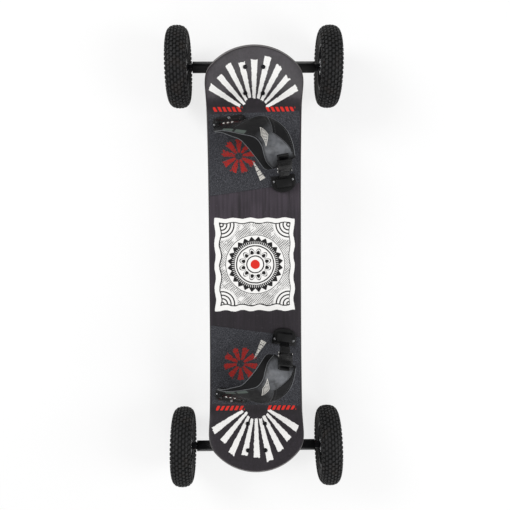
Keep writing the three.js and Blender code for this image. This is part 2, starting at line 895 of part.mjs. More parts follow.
function makeWheel(place) {
  const group = new THREE.Group();
  const half = makeHubHalf();
  group.add(
    named(`tyre_${place}`, makeTyre(), colours.rubber),
    named(`hub_outer_${place}`, half, colours.moulded),
    named(`hub_inner_${place}`, half.rotate([0, 180, 0]), colours.moulded),
    named(`bearing_set_${place}`, makeBearingSet(), colours.steel),
    named(`axle_nut_${place}`, makeAxleNut(), colours.steel),
  );
  return group;
}

// The bindings. Each is made in its own frame: x from heel to toe, y towards the near tip, z up from the
// deck. The strap turns about a hinge along x, and the ladder is an arc about that same hinge, so that it
// slides out of the ratchet as the strap opens.

const mountSeat = grip.thickness + 2 * clearance;

// The point at a radius and an angle about the strap's hinge; at zero it lies level, towards the far side.
function aboutHinge(radius, degrees) {
  const turn = radians(degrees);
  return [binding.hingePlace - radius * Math.cos(turn), binding.hingeHeight + radius * Math.sin(turn)];
}

// A slab across x made of a side view in the ratchet's own directions: a out from the hinge and b along the
// ladder towards the inner mount, both from the middle of the ladder.
function ratchetSlab(outline, from, to) {
  const turn = radians(ratchet.angle);
  const [y0, z0] = aboutHinge(ladder.radius, ratchet.angle);
  const placed = outline.map(([a, b]) => [
    y0 - a * Math.cos(turn) - b * Math.sin(turn),
    z0 + a * Math.sin(turn) - b * Math.cos(turn),
  ]);
  return slab("x", placed, from, to);
}

// A regular outline about a point, for pins and bosses in a side view.
function roundOutline(a, b, radius) {
  return Array.from({ length: ratchet.sides }, (_, n) => {
    const turn = (2 * Math.PI * n) / ratchet.sides;
    return [a + radius * Math.cos(turn), b + radius * Math.sin(turn)];
  });
}

// The outer mount: a foot on the deck, two ears and the hinge pin between them.
function makeOuterMount(name) {
  const { length, width, thickness, cornerRadius, place, earThickness, earRadius } = outerMount;
  const foot = moved(
    slab("z", roundedRectangle(length, width, cornerRadius), mountSeat, mountSeat + thickness, 3),
    place, binding.hingePlace, 0,
  );
  const halfBarrel = outerMount.barrelLength / 2 + running;
  const ears = [-1, 1].map((side) => {
    const near = place + side * halfBarrel;
    const far = near + side * earThickness;
    const cheek = slab(
      "x",
      [
        [binding.hingePlace - width / 2 + thickness, mountSeat + thickness / 2],
        [binding.hingePlace + width / 2 - thickness, mountSeat + thickness / 2],
        [binding.hingePlace + earRadius, binding.hingeHeight],
        [binding.hingePlace - earRadius, binding.hingeHeight],
      ],
      Math.min(near, far),
      Math.max(near, far),
    );
    const knuckle = moved(
      bar("x", earRadius, Math.min(near, far), Math.max(near, far), outerMount.sides),
      0, binding.hingePlace, binding.hingeHeight,
    );
    return join(cheek, knuckle);
  });
  const halfPin = halfBarrel + clearance;
  const pin = moved(
    bar("x", outerMount.pinRadius, place - halfPin, place + halfPin, outerMount.sides),
    0, binding.hingePlace, binding.hingeHeight,
  );
  return named(name, join(foot, ...ears, pin), colours.moulded);
}

// The inner mount: a D-shaped foot with a tapered block, slotted for the end of the ladder.
function makeInnerMount(name) {
  const { width, length, thickness, place, blockWidth, blockLength, blockHeight, blockTaper } = innerMount;
  const foot = new THREE.Shape();
  foot.moveTo(-width / 2, length / 2);
  foot.lineTo(-width / 2, 0);
  foot.absellipse(0, 0, width / 2, length / 2, Math.PI, Math.PI * 2, false);
  foot.lineTo(width / 2, length / 2);
  foot.closePath();
  const low = mountSeat + thickness / 2;
  const top = mountSeat + blockHeight;
  const block = slab(
    "x",
    [
      [-blockLength / 2, low],
      [blockLength / 2, low],
      [blockLength / 2 - blockTaper / 2, top],
      [-blockLength / 2 + blockTaper, top - blockTaper],
    ],
    -blockWidth / 2,
    blockWidth / 2,
  );
  const body = moved(
    join(slab("z", foot, mountSeat, mountSeat + thickness), block),
    ladder.place, place, 0,
  );
  const slot = ladderArc(
    ladder.lowAngle - THREE.MathUtils.radToDeg(clearance / ladder.radius),
    ladder.topAngle,
    ladder.thickness / 2 + clearance,
    ladder.width + 2 * clearance,
  );
  return named(name, cut(body, slot), colours.moulded);
}

// A stretch of the ladder's arc with a half thickness and a width.
function ladderArc(lowAngle, highAngle, halfThickness, width) {
  const steps = 9;
  const angles = Array.from({ length: steps + 1 }, (_, n) => lowAngle + ((highAngle - lowAngle) * n) / steps);
  const inner = angles.map((angle) => aboutHinge(ladder.radius - halfThickness, angle));
  const outer = angles.map((angle) => aboutHinge(ladder.radius + halfThickness, angle)).reverse();
  return slab("x", [...inner, ...outer], ladder.place - width / 2, ladder.place + width / 2);
}

// The ladder strap: a thin arc whose outer side is cut into saw teeth that face the inner mount.
function makeLadder(name) {
  const inside = ladder.radius - ladder.thickness / 2;
  const outside = ladder.radius + ladder.thickness / 2;
  const innerSteps = 12;
  const sweep = ladder.topAngle - ladder.lowAngle;
  const innerSide = Array.from({ length: innerSteps + 1 }, (_, n) =>
    aboutHinge(inside, ladder.lowAngle + (sweep * n) / innerSteps),
  );
  const pitchAngle = THREE.MathUtils.radToDeg(ladder.toothPitch / ladder.radius);
  const teeth = Math.floor((ladder.topAngle - ladder.firstToothAngle) / pitchAngle);
  const outerSide = [aboutHinge(outside, ladder.topAngle)];
  for (let n = 0; n < teeth; n += 1) {
    const angle = ladder.topAngle - n * pitchAngle;
    outerSide.push(aboutHinge(outside + ladder.toothHeight, angle - pitchAngle * ladder.toothLeanShare));
    outerSide.push(aboutHinge(outside, angle - pitchAngle));
  }
  const plainSteps = 3;
  const lastTooth = ladder.topAngle - teeth * pitchAngle;
  for (let n = 1; n <= plainSteps; n += 1) {
    outerSide.push(aboutHinge(outside, lastTooth + ((ladder.lowAngle - lastTooth) * n) / plainSteps));
  }
  const half = ladder.width / 2;
  return named(name, slab("x", [...innerSide, ...outerSide], ladder.place - half, ladder.place + half),
    colours.moulded);
}

const ratchetBase = {
  top: -ladder.thickness / 2 - clearance, // of the base's outer face, from the ladder's middle
};
ratchetBase.bottom = ratchetBase.top - ratchet.baseThickness;

// The ratchet frame: a channel round the ladder, with a hole in each wall for the two pins.
function makeRatchetFrame(name) {
  const half = ratchet.width / 2;
  const long = ratchet.length / 2;
  const drop = ratchet.baseGap - clearance;
  const [low, top] = [ratchetBase.bottom - drop, ratchetBase.top - drop];
  const base = ratchetSlab(
    [[low, -long], [low, long], [top, long], [top, -long]],
    ladder.place - half,
    ladder.place + half,
  );
  const wallTopShares = [
    [0.8, 1],
    [1, 0.8],
    [1, -0.3],
    [0.55, -1],
  ];
  const wallTop = wallTopShares.map(([high, along]) => [top + ratchet.wallHeight * high, long * along]);
  const wallOutline = [[low, -long], [low, long], ...wallTop];
  const walls = [-1, 1].map((side) => {
    const outer = ladder.place + side * half;
    const inner = outer - side * ratchet.wallThickness;
    return ratchetSlab(wallOutline, Math.min(inner, outer), Math.max(inner, outer));
  });
  const holes = [ratchet.leverPin, ratchet.releasePin].map((b) =>
    ratchetSlab(
      roundOutline(ratchet.pinHeight, b, ratchet.pinRadius + clearance),
      ladder.place - half - overrun,
      ladder.place + half + overrun,
    ),
  );
  return named(name, cut(join(base, ...walls), ...holes), colours.moulded);
}

// A lever between the walls: a boss and its pin, with an arm of the given side view.
function ratchetLever(pinPlace, armOutline, armWidth) {
  const gapWidth = ratchet.width - 2 * ratchet.wallThickness - 2 * running;
  const across = (outline, width) => ratchetSlab(outline, ladder.place - width / 2, ladder.place + width / 2);
  return join(
    across(roundOutline(ratchet.pinHeight, pinPlace, ratchet.bossRadius), gapWidth),
    across(roundOutline(ratchet.pinHeight, pinPlace, ratchet.pinRadius), ratchet.width),
    across(armOutline, armWidth),
  );
}

// The handle is as wide as the frame and starts past the pin, so that it clears the walls when it lifts. The
// stem that carries it fits between them.
function makeRatchetLever(name) {
  const foot = ratchet.pinHeight;
  const under = foot + ratchet.leverLift;
  const top = under + ratchet.leverThickness;
  const near = ratchet.leverPin + ratchet.bossRadius;
  const start = ratchet.leverPin - ratchet.bossRadius;
  const end = near - ratchet.leverLength;
  const stem = ratchetSlab(
    [
      [foot, start - ratchet.leverThickness],
      [foot, near],
      [top - clearance, near],
      [top - clearance, start - ratchet.leverThickness],
    ],
    ladder.place - ladder.width / 2,
    ladder.place + ladder.width / 2,
  );
  const handle = [
    [under, start],
    [top, start],
    [top + ratchet.leverThickness / 2, (start + end) / 2],
    [top, end],
    [under, end],
    [under + ratchet.leverThickness / 2, (start + end) / 2],
  ];
  return named(name, join(ratchetLever(ratchet.leverPin, handle, ratchet.width), stem), colours.moulded);
}

function makeReleaseLever(name) {
  const foot = ratchet.pinHeight;
  const half = ratchet.releaseThickness / 2;
  const end = ratchet.releasePin + ratchet.releaseLength;
  const tab = [
    [foot - half, ratchet.releasePin],
    [foot + half, ratchet.releasePin],
    [foot + half + half, end],
    [foot, end],
  ];
  return named(name, ratchetLever(ratchet.releasePin, tab, ladder.width - 2 * running), colours.moulded);
}

// The pad: a crowned shell between two guide curves over the foot. The ankle edge is drawn in as an arc,
// with a lining that fills the arc to a nearly straight edge, and the toe edge has a lobe by the outer
// mount. A flange joins it to the barrel on the hinge. A guide's points
// are a place along the foot, as a share of half the span, and a radius and an angle about the hinge, the
// radius as a share of the pad's seat.
function padGuide(shares) {
  const points = shares.map(
    ([x, radius, angle]) =>
      new THREE.Vector3((x * binding.span) / 2, ...aboutHinge(radius * binding.padSeat, angle)),
  );
  return new THREE.CatmullRomCurve3(points, false, "centripetal").getSpacedPoints(binding.padRows);
}

function makePad(name) {
  const ankleShares = [
    [-0.99, 0.198, 37.9],
    [-0.72, 0.421, 58.0],
    [-0.34, 0.678, 58.3],
    [0.02, 0.799, 54.2],
    [0.14, 0.896, 47.8],
    [0.17, 0.97, 40.7],
    [0.22, 0.99, 32.4],
    [0.4, 1, binding.ankleEndAngle],
  ];
  const toeShares = [
    [-0.94, 0.14, 44.3],
    [-0.6, 0.219, 66.0],
    [-0.3, 0.2, 67.1],
    [0.04, 0.108, 78.1],
    [0.32, 0.09, 86.5],
    [0.62, 0.281, 61.6],
    [0.86, 0.575, 51.7],
    [0.95, 0.78, 44.4],
    [0.98, 1, binding.toeEndAngle],
  ];
  const liningShares = [
    [-0.99, 0.2, 36.5],
    [-0.79, 0.39, 53.9],
    [-0.57, 0.606, 55.6],
    [-0.36, 0.769, 54.8],
    [-0.25, 0.856, 50.9],
    [-0.145, 0.937, 46.4],
    [-0.03, 1.0, 40.1],
    [0.07, 1.03, 33.0],
    [0.16, 1.03, 26.0],
    [0.25, 1.0, binding.liningEndAngle],
  ];
  const ankle = padGuide(ankleShares);
  const toe = padGuide(toeShares);
  const lining = padGuide(liningShares);
  const rings = [];
  const liningRings = [];
  for (let r = 0; r <= binding.padRows; r += 1) {
    const along = ankle[Math.min(r + 1, binding.padRows)]
      .clone()
      .add(toe[Math.min(r + 1, binding.padRows)])
      .sub(ankle[Math.max(r - 1, 0)])
      .sub(toe[Math.max(r - 1, 0)]);
    const across = toe[r].clone().sub(ankle[r]);
    const normal = new THREE.Vector3().crossVectors(across, along).normalize();
    if (normal.z < 0) normal.negate();
    const top = [];
    const bottom = [];
    for (let c = 0; c <= binding.padColumns; c += 1) {
      const share = c / binding.padColumns;
      const crown = Math.sin(Math.PI * share) ** binding.crownShare;
      const half = (binding.padEdge + (binding.padThickness - binding.padEdge) * crown) / 2;
      const middle = ankle[r].clone().lerp(toe[r], share);
      top.push(middle.clone().addScaledVector(normal, half));
      bottom.push(middle.clone().addScaledVector(normal, -half));
    }
    rings.push([...top, ...bottom.reverse()]);
    if (r % binding.liningStep !== 0) continue;
    const lap = ankle[r].clone().lerp(toe[r], binding.liningLapShare);
    const line = [lining[r], ankle[r], lap];
    const half = binding.liningThickness / 2;
    liningRings.push([
      ...line.map((p) => p.clone().addScaledVector(normal, half)),
      ...line.map((p) => p.clone().addScaledVector(normal, -half)).reverse(),
    ]);
  }
  return named(name, join(loft(rings), loft(liningRings), padFlange()), colours.padding);
}

function padFlange() {
  const { barrelLength, barrelRadius, flangeThickness, place, pinRadius, sides } = outerMount;
  const [from, to] = [place - barrelLength / 2, place + barrelLength / 2];
  const barrel = moved(bar("x", barrelRadius, from, to, sides), 0, binding.hingePlace, binding.hingeHeight);
  const reachShare = 0.212; // of the pad's seat, where it ends inside the pad
  const riseAngle = 65;
  const [topPlace, topHeight] = aboutHinge(binding.padSeat * reachShare, riseAngle);
  const web = slab(
    "x",
    [
      [binding.hingePlace - flangeThickness / 2, binding.hingeHeight],
      [binding.hingePlace + flangeThickness / 2, binding.hingeHeight],
      [topPlace + flangeThickness / 2, topHeight],
      [topPlace - flangeThickness / 2, topHeight],
    ],
    from,
    to,
  );
  const bore = moved(
    bar("x", pinRadius + clearance, from - overrun, to + overrun, sides),
    0, binding.hingePlace, binding.hingeHeight,
  );
  return cut(join(barrel, web), bore);
}

function makeBinding(end) {
  const group = new THREE.Group();
  group.add(
    makeOuterMount(`outer_mount_${end}`),
    makeInnerMount(`inner_mount_${end}`),
    makePad(`pad_${end}`),
    makeLadder(`ladder_strap_${end}`),
    makeRatchetFrame(`ratchet_frame_${end}`),
    makeRatchetLever(`ratchet_lever_${end}`),
    makeReleaseLever(`release_lever_${end}`),
  );
  group.rotation.order = "XYZ";
  group.rotation.x = -Math.asin((binding.reach - deck.middleFlat / 2) / camberRadius);
  group.rotation.z = radians(binding.duckAngle);
  group.position.set(0, binding.reach, deckHeight(binding.reach));
  return group;
}

function makeTruck(end) {
  const group = new THREE.Group();
  group.add(
    makeBaseplate(end),
    makeHanger(end),
    makeKingpin(end),
    makeBeam(end),
    makeRod(end),
    ...[-1, 1].map((side) => makeShock(end, side)),
    ...boltPlaces.map((place) => makeTruckBolt(end, place)),
  );
  group.applyMatrix4(truckFrame);
  return group;
}

const mountainboard = new THREE.Group();
mountainboard.add(makeDeck(), makeGrip("grip_front", 1), makeGrip("grip_rear", -1));

const frontTruck = new THREE.Group().add(makeTruck("front"));
const rearTruck = new THREE.Group().add(makeTruck("rear"));
rearTruck.rotation.z = Math.PI;
mountainboard.add(frontTruck, rearTruck);

for (const [end, along] of [["front", 1], ["rear", -1]]) {
  for (const [side, across] of [["left", -1], ["right", 1]]) {
    const group = makeWheel(`${end}_${side}`);
    group.position.set((across * axle.track) / 2, along * axleReach, wheel.crownRadius);
    if (across < 0) group.rotation.z = Math.PI;
    mountainboard.add(group);
  }
}

const frontBinding = makeBinding("front");
const rearBinding = new THREE.Group().add(makeBinding("rear"));
rearBinding.scale.y = -1; // the rear binding is the front one's mirror image
mountainboard.add(frontBinding, rearBinding);

export default mountainboard;
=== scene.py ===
# Mountainboard: the finish of every piece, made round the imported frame. The deck with its printed graphics,
# the tyres, hubs, bolts and pads are surfaces worked out here, and the cast and moulded pieces are copies of
# their solids with softened edges. Sizes are in millimetres unless a name says otherwise.
import json
import math

import bmesh
import bpy
import numpy as np
from mathutils import Matrix, Vector

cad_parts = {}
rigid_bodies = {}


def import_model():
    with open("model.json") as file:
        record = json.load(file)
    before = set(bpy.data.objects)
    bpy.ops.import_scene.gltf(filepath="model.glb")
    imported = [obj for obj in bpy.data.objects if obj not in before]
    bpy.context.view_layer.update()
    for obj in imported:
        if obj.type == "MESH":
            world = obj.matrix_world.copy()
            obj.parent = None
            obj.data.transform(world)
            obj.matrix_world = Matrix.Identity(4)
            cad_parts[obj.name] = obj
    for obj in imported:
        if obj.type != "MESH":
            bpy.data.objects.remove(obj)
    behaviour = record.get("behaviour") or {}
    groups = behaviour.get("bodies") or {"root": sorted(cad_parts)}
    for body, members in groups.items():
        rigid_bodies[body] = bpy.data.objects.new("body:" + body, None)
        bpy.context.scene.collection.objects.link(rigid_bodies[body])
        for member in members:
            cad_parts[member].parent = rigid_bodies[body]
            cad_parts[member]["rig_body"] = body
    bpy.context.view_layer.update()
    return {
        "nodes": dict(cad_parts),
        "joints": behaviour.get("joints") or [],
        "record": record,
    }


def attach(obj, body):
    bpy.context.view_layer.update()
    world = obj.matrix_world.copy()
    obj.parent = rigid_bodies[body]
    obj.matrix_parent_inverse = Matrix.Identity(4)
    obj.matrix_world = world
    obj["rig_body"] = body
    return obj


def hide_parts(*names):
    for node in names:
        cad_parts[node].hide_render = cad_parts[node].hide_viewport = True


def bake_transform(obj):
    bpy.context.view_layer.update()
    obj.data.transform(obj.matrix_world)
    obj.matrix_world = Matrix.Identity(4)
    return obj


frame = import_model()
joints = {joint["name"]: joint for joint in frame["joints"]}
mounts = {mount["name"]: mount for mount in frame["record"]["mounts"]}

MM = 0.001
ENDS = {"front": 1, "rear": -1}
SIDES = {"left": -1, "right": 1}


def joint_at(name):
    """Where a joint of the frame is."""
    return np.array(joints[name]["pos_m"]) / MM


# General shapes

def quads(rows, columns, wrap_rows=False, wrap_columns=False):
    """Vertex numbers of the quads between neighbouring points of a grid. A wrapped side joins its end to its
    start."""
    row, column = np.meshgrid(
        np.arange(rows if wrap_rows else rows - 1),
        np.arange(columns if wrap_columns else columns - 1),
        indexing="ij",
    )
    below, beside = (row + 1) % rows, (column + 1) % columns
    corners = ((row, column), (row, beside), (below, beside), (below, column))
    return np.stack([r * columns + c for r, c in corners], -1).reshape(-1, 4)


def volume(points, faces):
    """The signed volume inside closed faces: a sum of the tetrahedra from the first point to every face."""
    total = 0.0
    for group in faces:
        corners = points[group] - points[0]
        for k in range(1, group.shape[1] - 1):
            cross = np.cross(corners[:, k], corners[:, k + 1])
            total += np.einsum("ij,ij->i", corners[:, 0], cross).sum()
    return total


def round_trip(count):
    """Angles once round in equal steps."""
    return np.linspace(0, 2 * math.pi, count, endpoint=False)


def turned(profile, centre, axis, segments):
    """Rings of a turned shape: each profile point (along, radius) swept round the axis through the centre."""
    axis = np.asarray(axis, float) / np.linalg.norm(axis)
    helper = np.array([0, 0, 1.0]) if abs(axis[2]) < 0.9 else np.array([1.0, 0, 0])
    first = np.cross(helper, axis)
    first /= np.linalg.norm(first)
    along, radius = np.asarray(profile, float).T
    turn = round_trip(segments)[:, None]
    spoke = np.cos(turn) * first + np.sin(turn) * np.cross(axis, first)
    return np.asarray(centre) + along[:, None, None] * axis + radius[:, None, None] * spoke[None]


def bow(start, corner, end, steps):
    """Points of the quadratic curve from a start to an end that heads for a corner between them."""
    share = np.linspace(0, 1, steps)[:, None]
    return (1 - share) ** 2 * start + 2 * share * (1 - share) * corner + share ** 2 * end


def rounded_profile(points, radius, steps):
    """The profile with every inner corner replaced by a curve that starts and ends a radius from it."""
    points = np.asarray(points, float)
    out = [points[:1]]
    for before, corner, after in zip(points, points[1:], points[2:]):
        lengths = np.linalg.norm([before - corner, after - corner], axis=1)
        reach = min(radius, *(lengths / 2))
        start = corner + (before - corner) / lengths[0] * reach
        end = corner + (after - corner) / lengths[1] * reach
        out.append(bow(start, corner, end, steps))
    return np.vstack([*out, points[-1:]])


def soft_polygon(corners, radius):
    """A closed outline with its corners rounded, but for those that turn by less than about 26 degrees."""
    almost_straight = -0.9
    out = []
    for before, corner, after in zip(np.roll(corners, 1, 0), corners, np.roll(corners, -1, 0)):
        ways = np.stack([before - corner, after - corner])
        lengths = np.linalg.norm(ways, axis=1)[:, None]
        ways /= lengths
        if ways[0] @ ways[1] < almost_straight:
            out.append(corner[None])
        else:
            start, end = corner + ways * np.minimum(radius, lengths * 0.9)
            out.append(bow(start, corner, end, 6))
    return np.vstack(out)


def swept(path, radius, sides):
    """Rings of a round tube along a path of points, kept square to the path."""
    path = np.asarray(path, float)
    ahead = np.gradient(path, axis=0)
    ahead /= np.linalg.norm(ahead, axis=1)[:, None]
    helper = np.array([0.13, 0.21, 0.97])
    first = np.cross(ahead, helper)
    first /= np.linalg.norm(first, axis=1)[:, None]
    second = np.cross(ahead, first)
    turn = round_trip(sides)[None, :, None]
    offset = np.cos(turn) * first[:, None] + np.sin(turn) * second[:, None]
    return path[:, None] + np.broadcast_to(radius, len(path))[:, None, None] * offset


class Shell:
    """The points and faces of one piece, gathered from closed surfaces, each with the number of its look."""

    def __init__(self, width=0):
        self.points, self.faces, self.looks, self.values = [], [], [], []
        self.width = width  # how many attributes a point has
        self.count = 0

    def add(self, points, faces, look=0, value=0.0):
        """Adds a closed surface and turns its faces outwards. A value has a column for each attribute."""
        points = np.asarray(points, float)
        if volume(points, faces) < 0:
            faces = [group[:, ::-1] for group in faces]
        for group in faces:
            self.faces += (group + self.count).tolist()
            self.looks += [look] * len(group)
        self.points.append(points)
        self.values.append(np.broadcast_to(value, (len(points), self.width)).astype(float))
        self.count += len(points)

    def tube(self, rings, look=0, value=0.0):
        """Adds a tube given as closed rings, each end closed by a fan to the middle of its ring."""
        rows, columns = rings.shape[:2]
        points = np.vstack([rings.reshape(-1, 3), [rings[0].mean(0)], [rings[-1].mean(0)]])
        here = np.arange(columns)
        onward = (here + 1) % columns
        last = (rows - 1) * columns
        middle = np.full(columns, rows * columns)
        fans = np.hstack([[onward, here, middle], [here + last, onward + last, middle + 1]]).T
        if np.ndim(value) == 3:
            value = np.vstack([value.reshape(rows * columns, -1), value[0].mean(0), value[-1].mean(0)])
        self.add(points, [quads(rows, columns, wrap_columns=True), fans], look, value)

    def ring(self, rings, look=0, value=0.0):
        """Adds a surface that closes on itself both ways."""
        self.add(rings.reshape(-1, 3), [quads(*rings.shape[:2], True, True)], look, value)

    def cord(self, path, radius, look=0, sides=10):
        """Adds a round tube along a path."""
        self.tube(swept(path, radius, sides), look)

    def turn(self, profile, corner, centre, axis, segments=40, look=0, steps=4):
        """Adds a shape turned about an axis, its profile's corners rounded. A profile that ends where it
        starts makes a hollow ring."""
        hollow = profile[0] == profile[-1]
        profile = rounded_profile(profile, corner, steps)
        if hollow:
            self.ring(turned(profile[:-1], centre, axis, segments), look)
        else:
            self.tube(turned(profile, centre, axis, segments), look)


def in_scene(name, data):
    """A new object of the data, linked into the scene."""
    made = bpy.data.objects.new(name, data)
    bpy.context.scene.collection.objects.link(made)
    return made


def mesh_of(name, points, faces):
    """A mesh of the points and faces as they are given."""
    mesh = bpy.data.meshes.new(name)
    mesh.from_pydata(points.tolist(), [], faces)
    return mesh


def loose(name, shell):
    """An object of a shell, in millimetres, for work that ends before the piece is made."""
    return in_scene(name, mesh_of(name, np.vstack(shell.points), shell.faces))


def linked(name, mesh, body, stands_for=(), bend=None):
    """Puts a mesh into the scene as a piece. It rides on a body, or, given a bend, keeps its place with its
    transform baked into its points."""
    piece = in_scene(name, mesh)
    if bend:
        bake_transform(piece)
    else:
        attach(piece, body)
    if stands_for:
        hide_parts(*stands_for)
    return piece


def piece_of(name, shell, finishes, body, stands_for=(), sharp=38, attributes=()):
    """Makes a piece from a shell, smooth but for its sharp edges."""
    mesh = mesh_of(name, np.vstack(shell.points) * MM, shell.faces)
    for finish in finishes:
        mesh.materials.append(finish)
    mesh.polygons.foreach_set("material_index", shell.looks)
    for column, attribute in enumerate(attributes):
        layer = mesh.attributes.new(attribute, "FLOAT", "POINT")
        layer.data.foreach_set("value", np.vstack(shell.values)[:, column].astype(np.float32))
    mesh.shade_smooth()
    mesh.set_sharp_from_angle(angle=math.radians(sharp))
    return linked(name, mesh, body, stands_for)


def stand_in(node, shell, finishes, body, sharp=35, attributes=()):
    """Makes the piece that stands for a node of the frame."""
    return piece_of(f"{node}_look", shell, finishes, body, (node,), sharp, attributes)


def softened(node, finish, width, bend=None):
    """Makes the piece that stands for a node from a copy of its solid, with the flat faces joined and the
    edges rounded."""
    work = bmesh.new()
    work.from_mesh(frame["nodes"][node].data)
    bmesh.ops.remove_doubles(work, verts=work.verts, dist=0.01 * MM)
    bmesh.ops.dissolve_limit(
        work, angle_limit=math.radians(1), verts=work.verts, edges=work.edges, delimit={"NORMAL"}
    )
    mesh = bpy.data.meshes.new(f"{node}_look")
    work.to_mesh(mesh)
    work.free()
    mesh.materials.append(finish)
    mesh.shade_smooth()
    piece = linked(f"{node}_look", mesh, frame["nodes"][node]["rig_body"], (node,), bend)
    rounded = piece.modifiers.new("rounding", "BEVEL")
    rounded.width = width * MM
    rounded.segments = 3
    rounded.limit_method = "ANGLE"
    rounded.angle_limit = math.radians(32)
    rounded.harden_normals = True


# Finishes

def tone(code):
    """The linear colour of a screen colour written as a hexadecimal number."""
    parts = [((code >> shift) & 255) / 255 for shift in (16, 8, 0)]
    linear = [p / 12.92 if p <= 0.04045 else ((p + 0.055) / 1.055) ** 2.4 for p in parts]
    return (*linear, 1.0)


class Field:
    """A value that changes over a surface. Arithmetic on fields adds Math nodes to their tree. A mask is a
    field that is one inside a limit and zero outside it, blurred over a width."""

    def __init__(self, nodes, socket):
        self.nodes = nodes
        self.socket = socket

    def math(self, operation, *others, clamp=False):
        fed = dict(enumerate((self, *others)))
        return self.nodes.node("Math", fed, operation=operation, use_clamp=clamp)

    def __add__(self, other):
        return self.math("ADD", other)

    def __sub__(self, other):
        return self.math("SUBTRACT", other)

    def __mul__(self, other):
        return self.math("MULTIPLY", other)

    def __truediv__(self, other):
        return self.math("DIVIDE", other)

    def __abs__(self):
        return self.math("ABSOLUTE")

    def least(self, other):
        return self.math("MINIMUM", other)

    def most(self, other):
        return self.math("MAXIMUM", other)

    def sine(self, length):
        """A sine of the field, with a full wave in the given length."""
        return (self * (2 * math.pi / length)).math("SINE")

    def over(self, limit, blur=0.5):
        return self.math("MULTIPLY_ADD", 1 / blur, 0.5 - limit / blur, clamp=True)

    def under(self, limit, blur=0.5):
        return self.math("MULTIPLY_ADD", -1 / blur, 0.5 + limit / blur, clamp=True)

    def near(self, place, reach, blur=0.4):
        """A mask of what lies within a reach of a place."""
        return abs(self - place).under(reach, blur)

    def saw(self, length):
        """The distance from the middle of the nearest cell of a length, negative before it."""
        return (self / length).math("FRACT") * length - length / 2

    def lines(self, length, reach, blur=0.4):
        """A mask of lines, each within a reach of the middle of a cell of a length."""
        return abs(self.saw(length)).under(reach, blur)

    def cell(self, length):
        """The number of the cell of a length in which the field lies."""
        return (self / length).math("FLOOR")


class Nodes:
    """A node tree of a material or of the world."""

    def __init__(self, tree):
        self.tree = tree

    def feed(self, socket, value):
        """Links a field to a socket, or sets the socket to a constant."""
        if isinstance(value, Field):
            self.tree.links.new(value.socket, socket)
        else:
            socket.default_value = value

    def node(self, kind, fed=None, output=0, **settings):
        """The field that a new node of a kind gives, its inputs fed by name or number."""
        made = self.tree.nodes.new(f"ShaderNode{kind}")
        for key, value in settings.items():
            setattr(made, key, value)
        for key, value in (fed or {}).items():
            self.feed(made.inputs[key], value)
        return Field(self, made.outputs[output])


class Finish(Nodes):
    """A material whose colour, roughness and bump are worked out from fields over the object's own space. It
    starts from a ground colour, and other colours are laid over it. A colour is a field, a linear colour or
    a screen colour's number."""

    def __init__(self, name, ground, **constants):
        self.material = bpy.data.materials.new(name)
        self.material.use_nodes = True
        super().__init__(self.material.node_tree)
        self.shader = self.tree.nodes["Principled BSDF"]
        for key, value in constants.items():
            self.shader.inputs[key.replace("_", " ").title().replace("Ior", "IOR")].default_value = value
        self.place = self.node("TexCoord", output="Object")
        parts = self.node("SeparateXYZ", {0: self.place}).socket.node.outputs
        self.x, self.y = [Field(self, part) * (1 / MM) for part in parts[:2]]
        self.relief = None
        self.ground = ground

    def attribute(self, name):
        return self.node("Attribute", output="Fac", attribute_name=name)

    def stretched(self, grain, stretch):
        """The object's own space, measured in grains and drawn out by the stretch."""
        factors = [1 / (grain * MM * s) for s in stretch]
        return self.node("VectorMath", {0: self.place, 1: factors}, operation="MULTIPLY")

    def noise(self, grain, detail, stretch=(1, 1, 1), distortion=0.0):
        """Noise from 0 to 1 whose grain is about the given size."""
        return self.node("TexNoise", {"Vector": self.stretched(grain, stretch), "Scale": 1.0,
                                      "Detail": detail, "Distortion": distortion})

    def cells(self, size):
        """Distance to the nearest of many scattered points about a size apart."""
        place = self.stretched(size, (1, 1, 1))
        return self.node("TexVoronoi", {"Vector": place, "Scale": 1.0}, "Distance")

    def chance(self, field):
        """A number from 0 to 1 for each whole value of the field."""
        return self.node("TexWhiteNoise", {"W": field}, "Value", noise_dimensions="1D")

    def mix(self, factor, *colours):
        """A blend from a first colour to a second."""
        first, second = [tone(c) if isinstance(c, int) else c for c in colours]
        return self.node("Mix", {0: factor, 6: first, 7: second}, 2, data_type="RGBA")

    def lay(self, mask, colour):
        """Lays a colour over what is there, where the mask is one."""
        self.ground = self.mix(mask, self.ground, colour)
        self.feed(self.shader.inputs["Base Color"], self.ground)

    def bump(self, height, distance):
        """Adds relief: the field times a distance in millimetres."""
        fed = {"Distance": distance * MM, "Height": height}
        if self.relief:
            fed["Normal"] = self.relief
        self.relief = self.node("Bump", fed)
        self.feed(self.shader.inputs["Normal"], self.relief)

    def roughness(self, field, low, high):
        self.feed(self.shader.inputs["Roughness"], field * (high - low) + low)


def polar(x, y):
    """Distance from the middle and angle from the y direction, in degrees, of two fields."""
    return (x * x + y * y).math("SQRT"), x.math("ARCTAN2", y) * (180 / math.pi)


white = 0xF2F1EF
off_white = 0xDDDAD3
charcoal = 0x262226
plum_grey = 0x362F37
soot = 0x131113
red = 0xD8261A


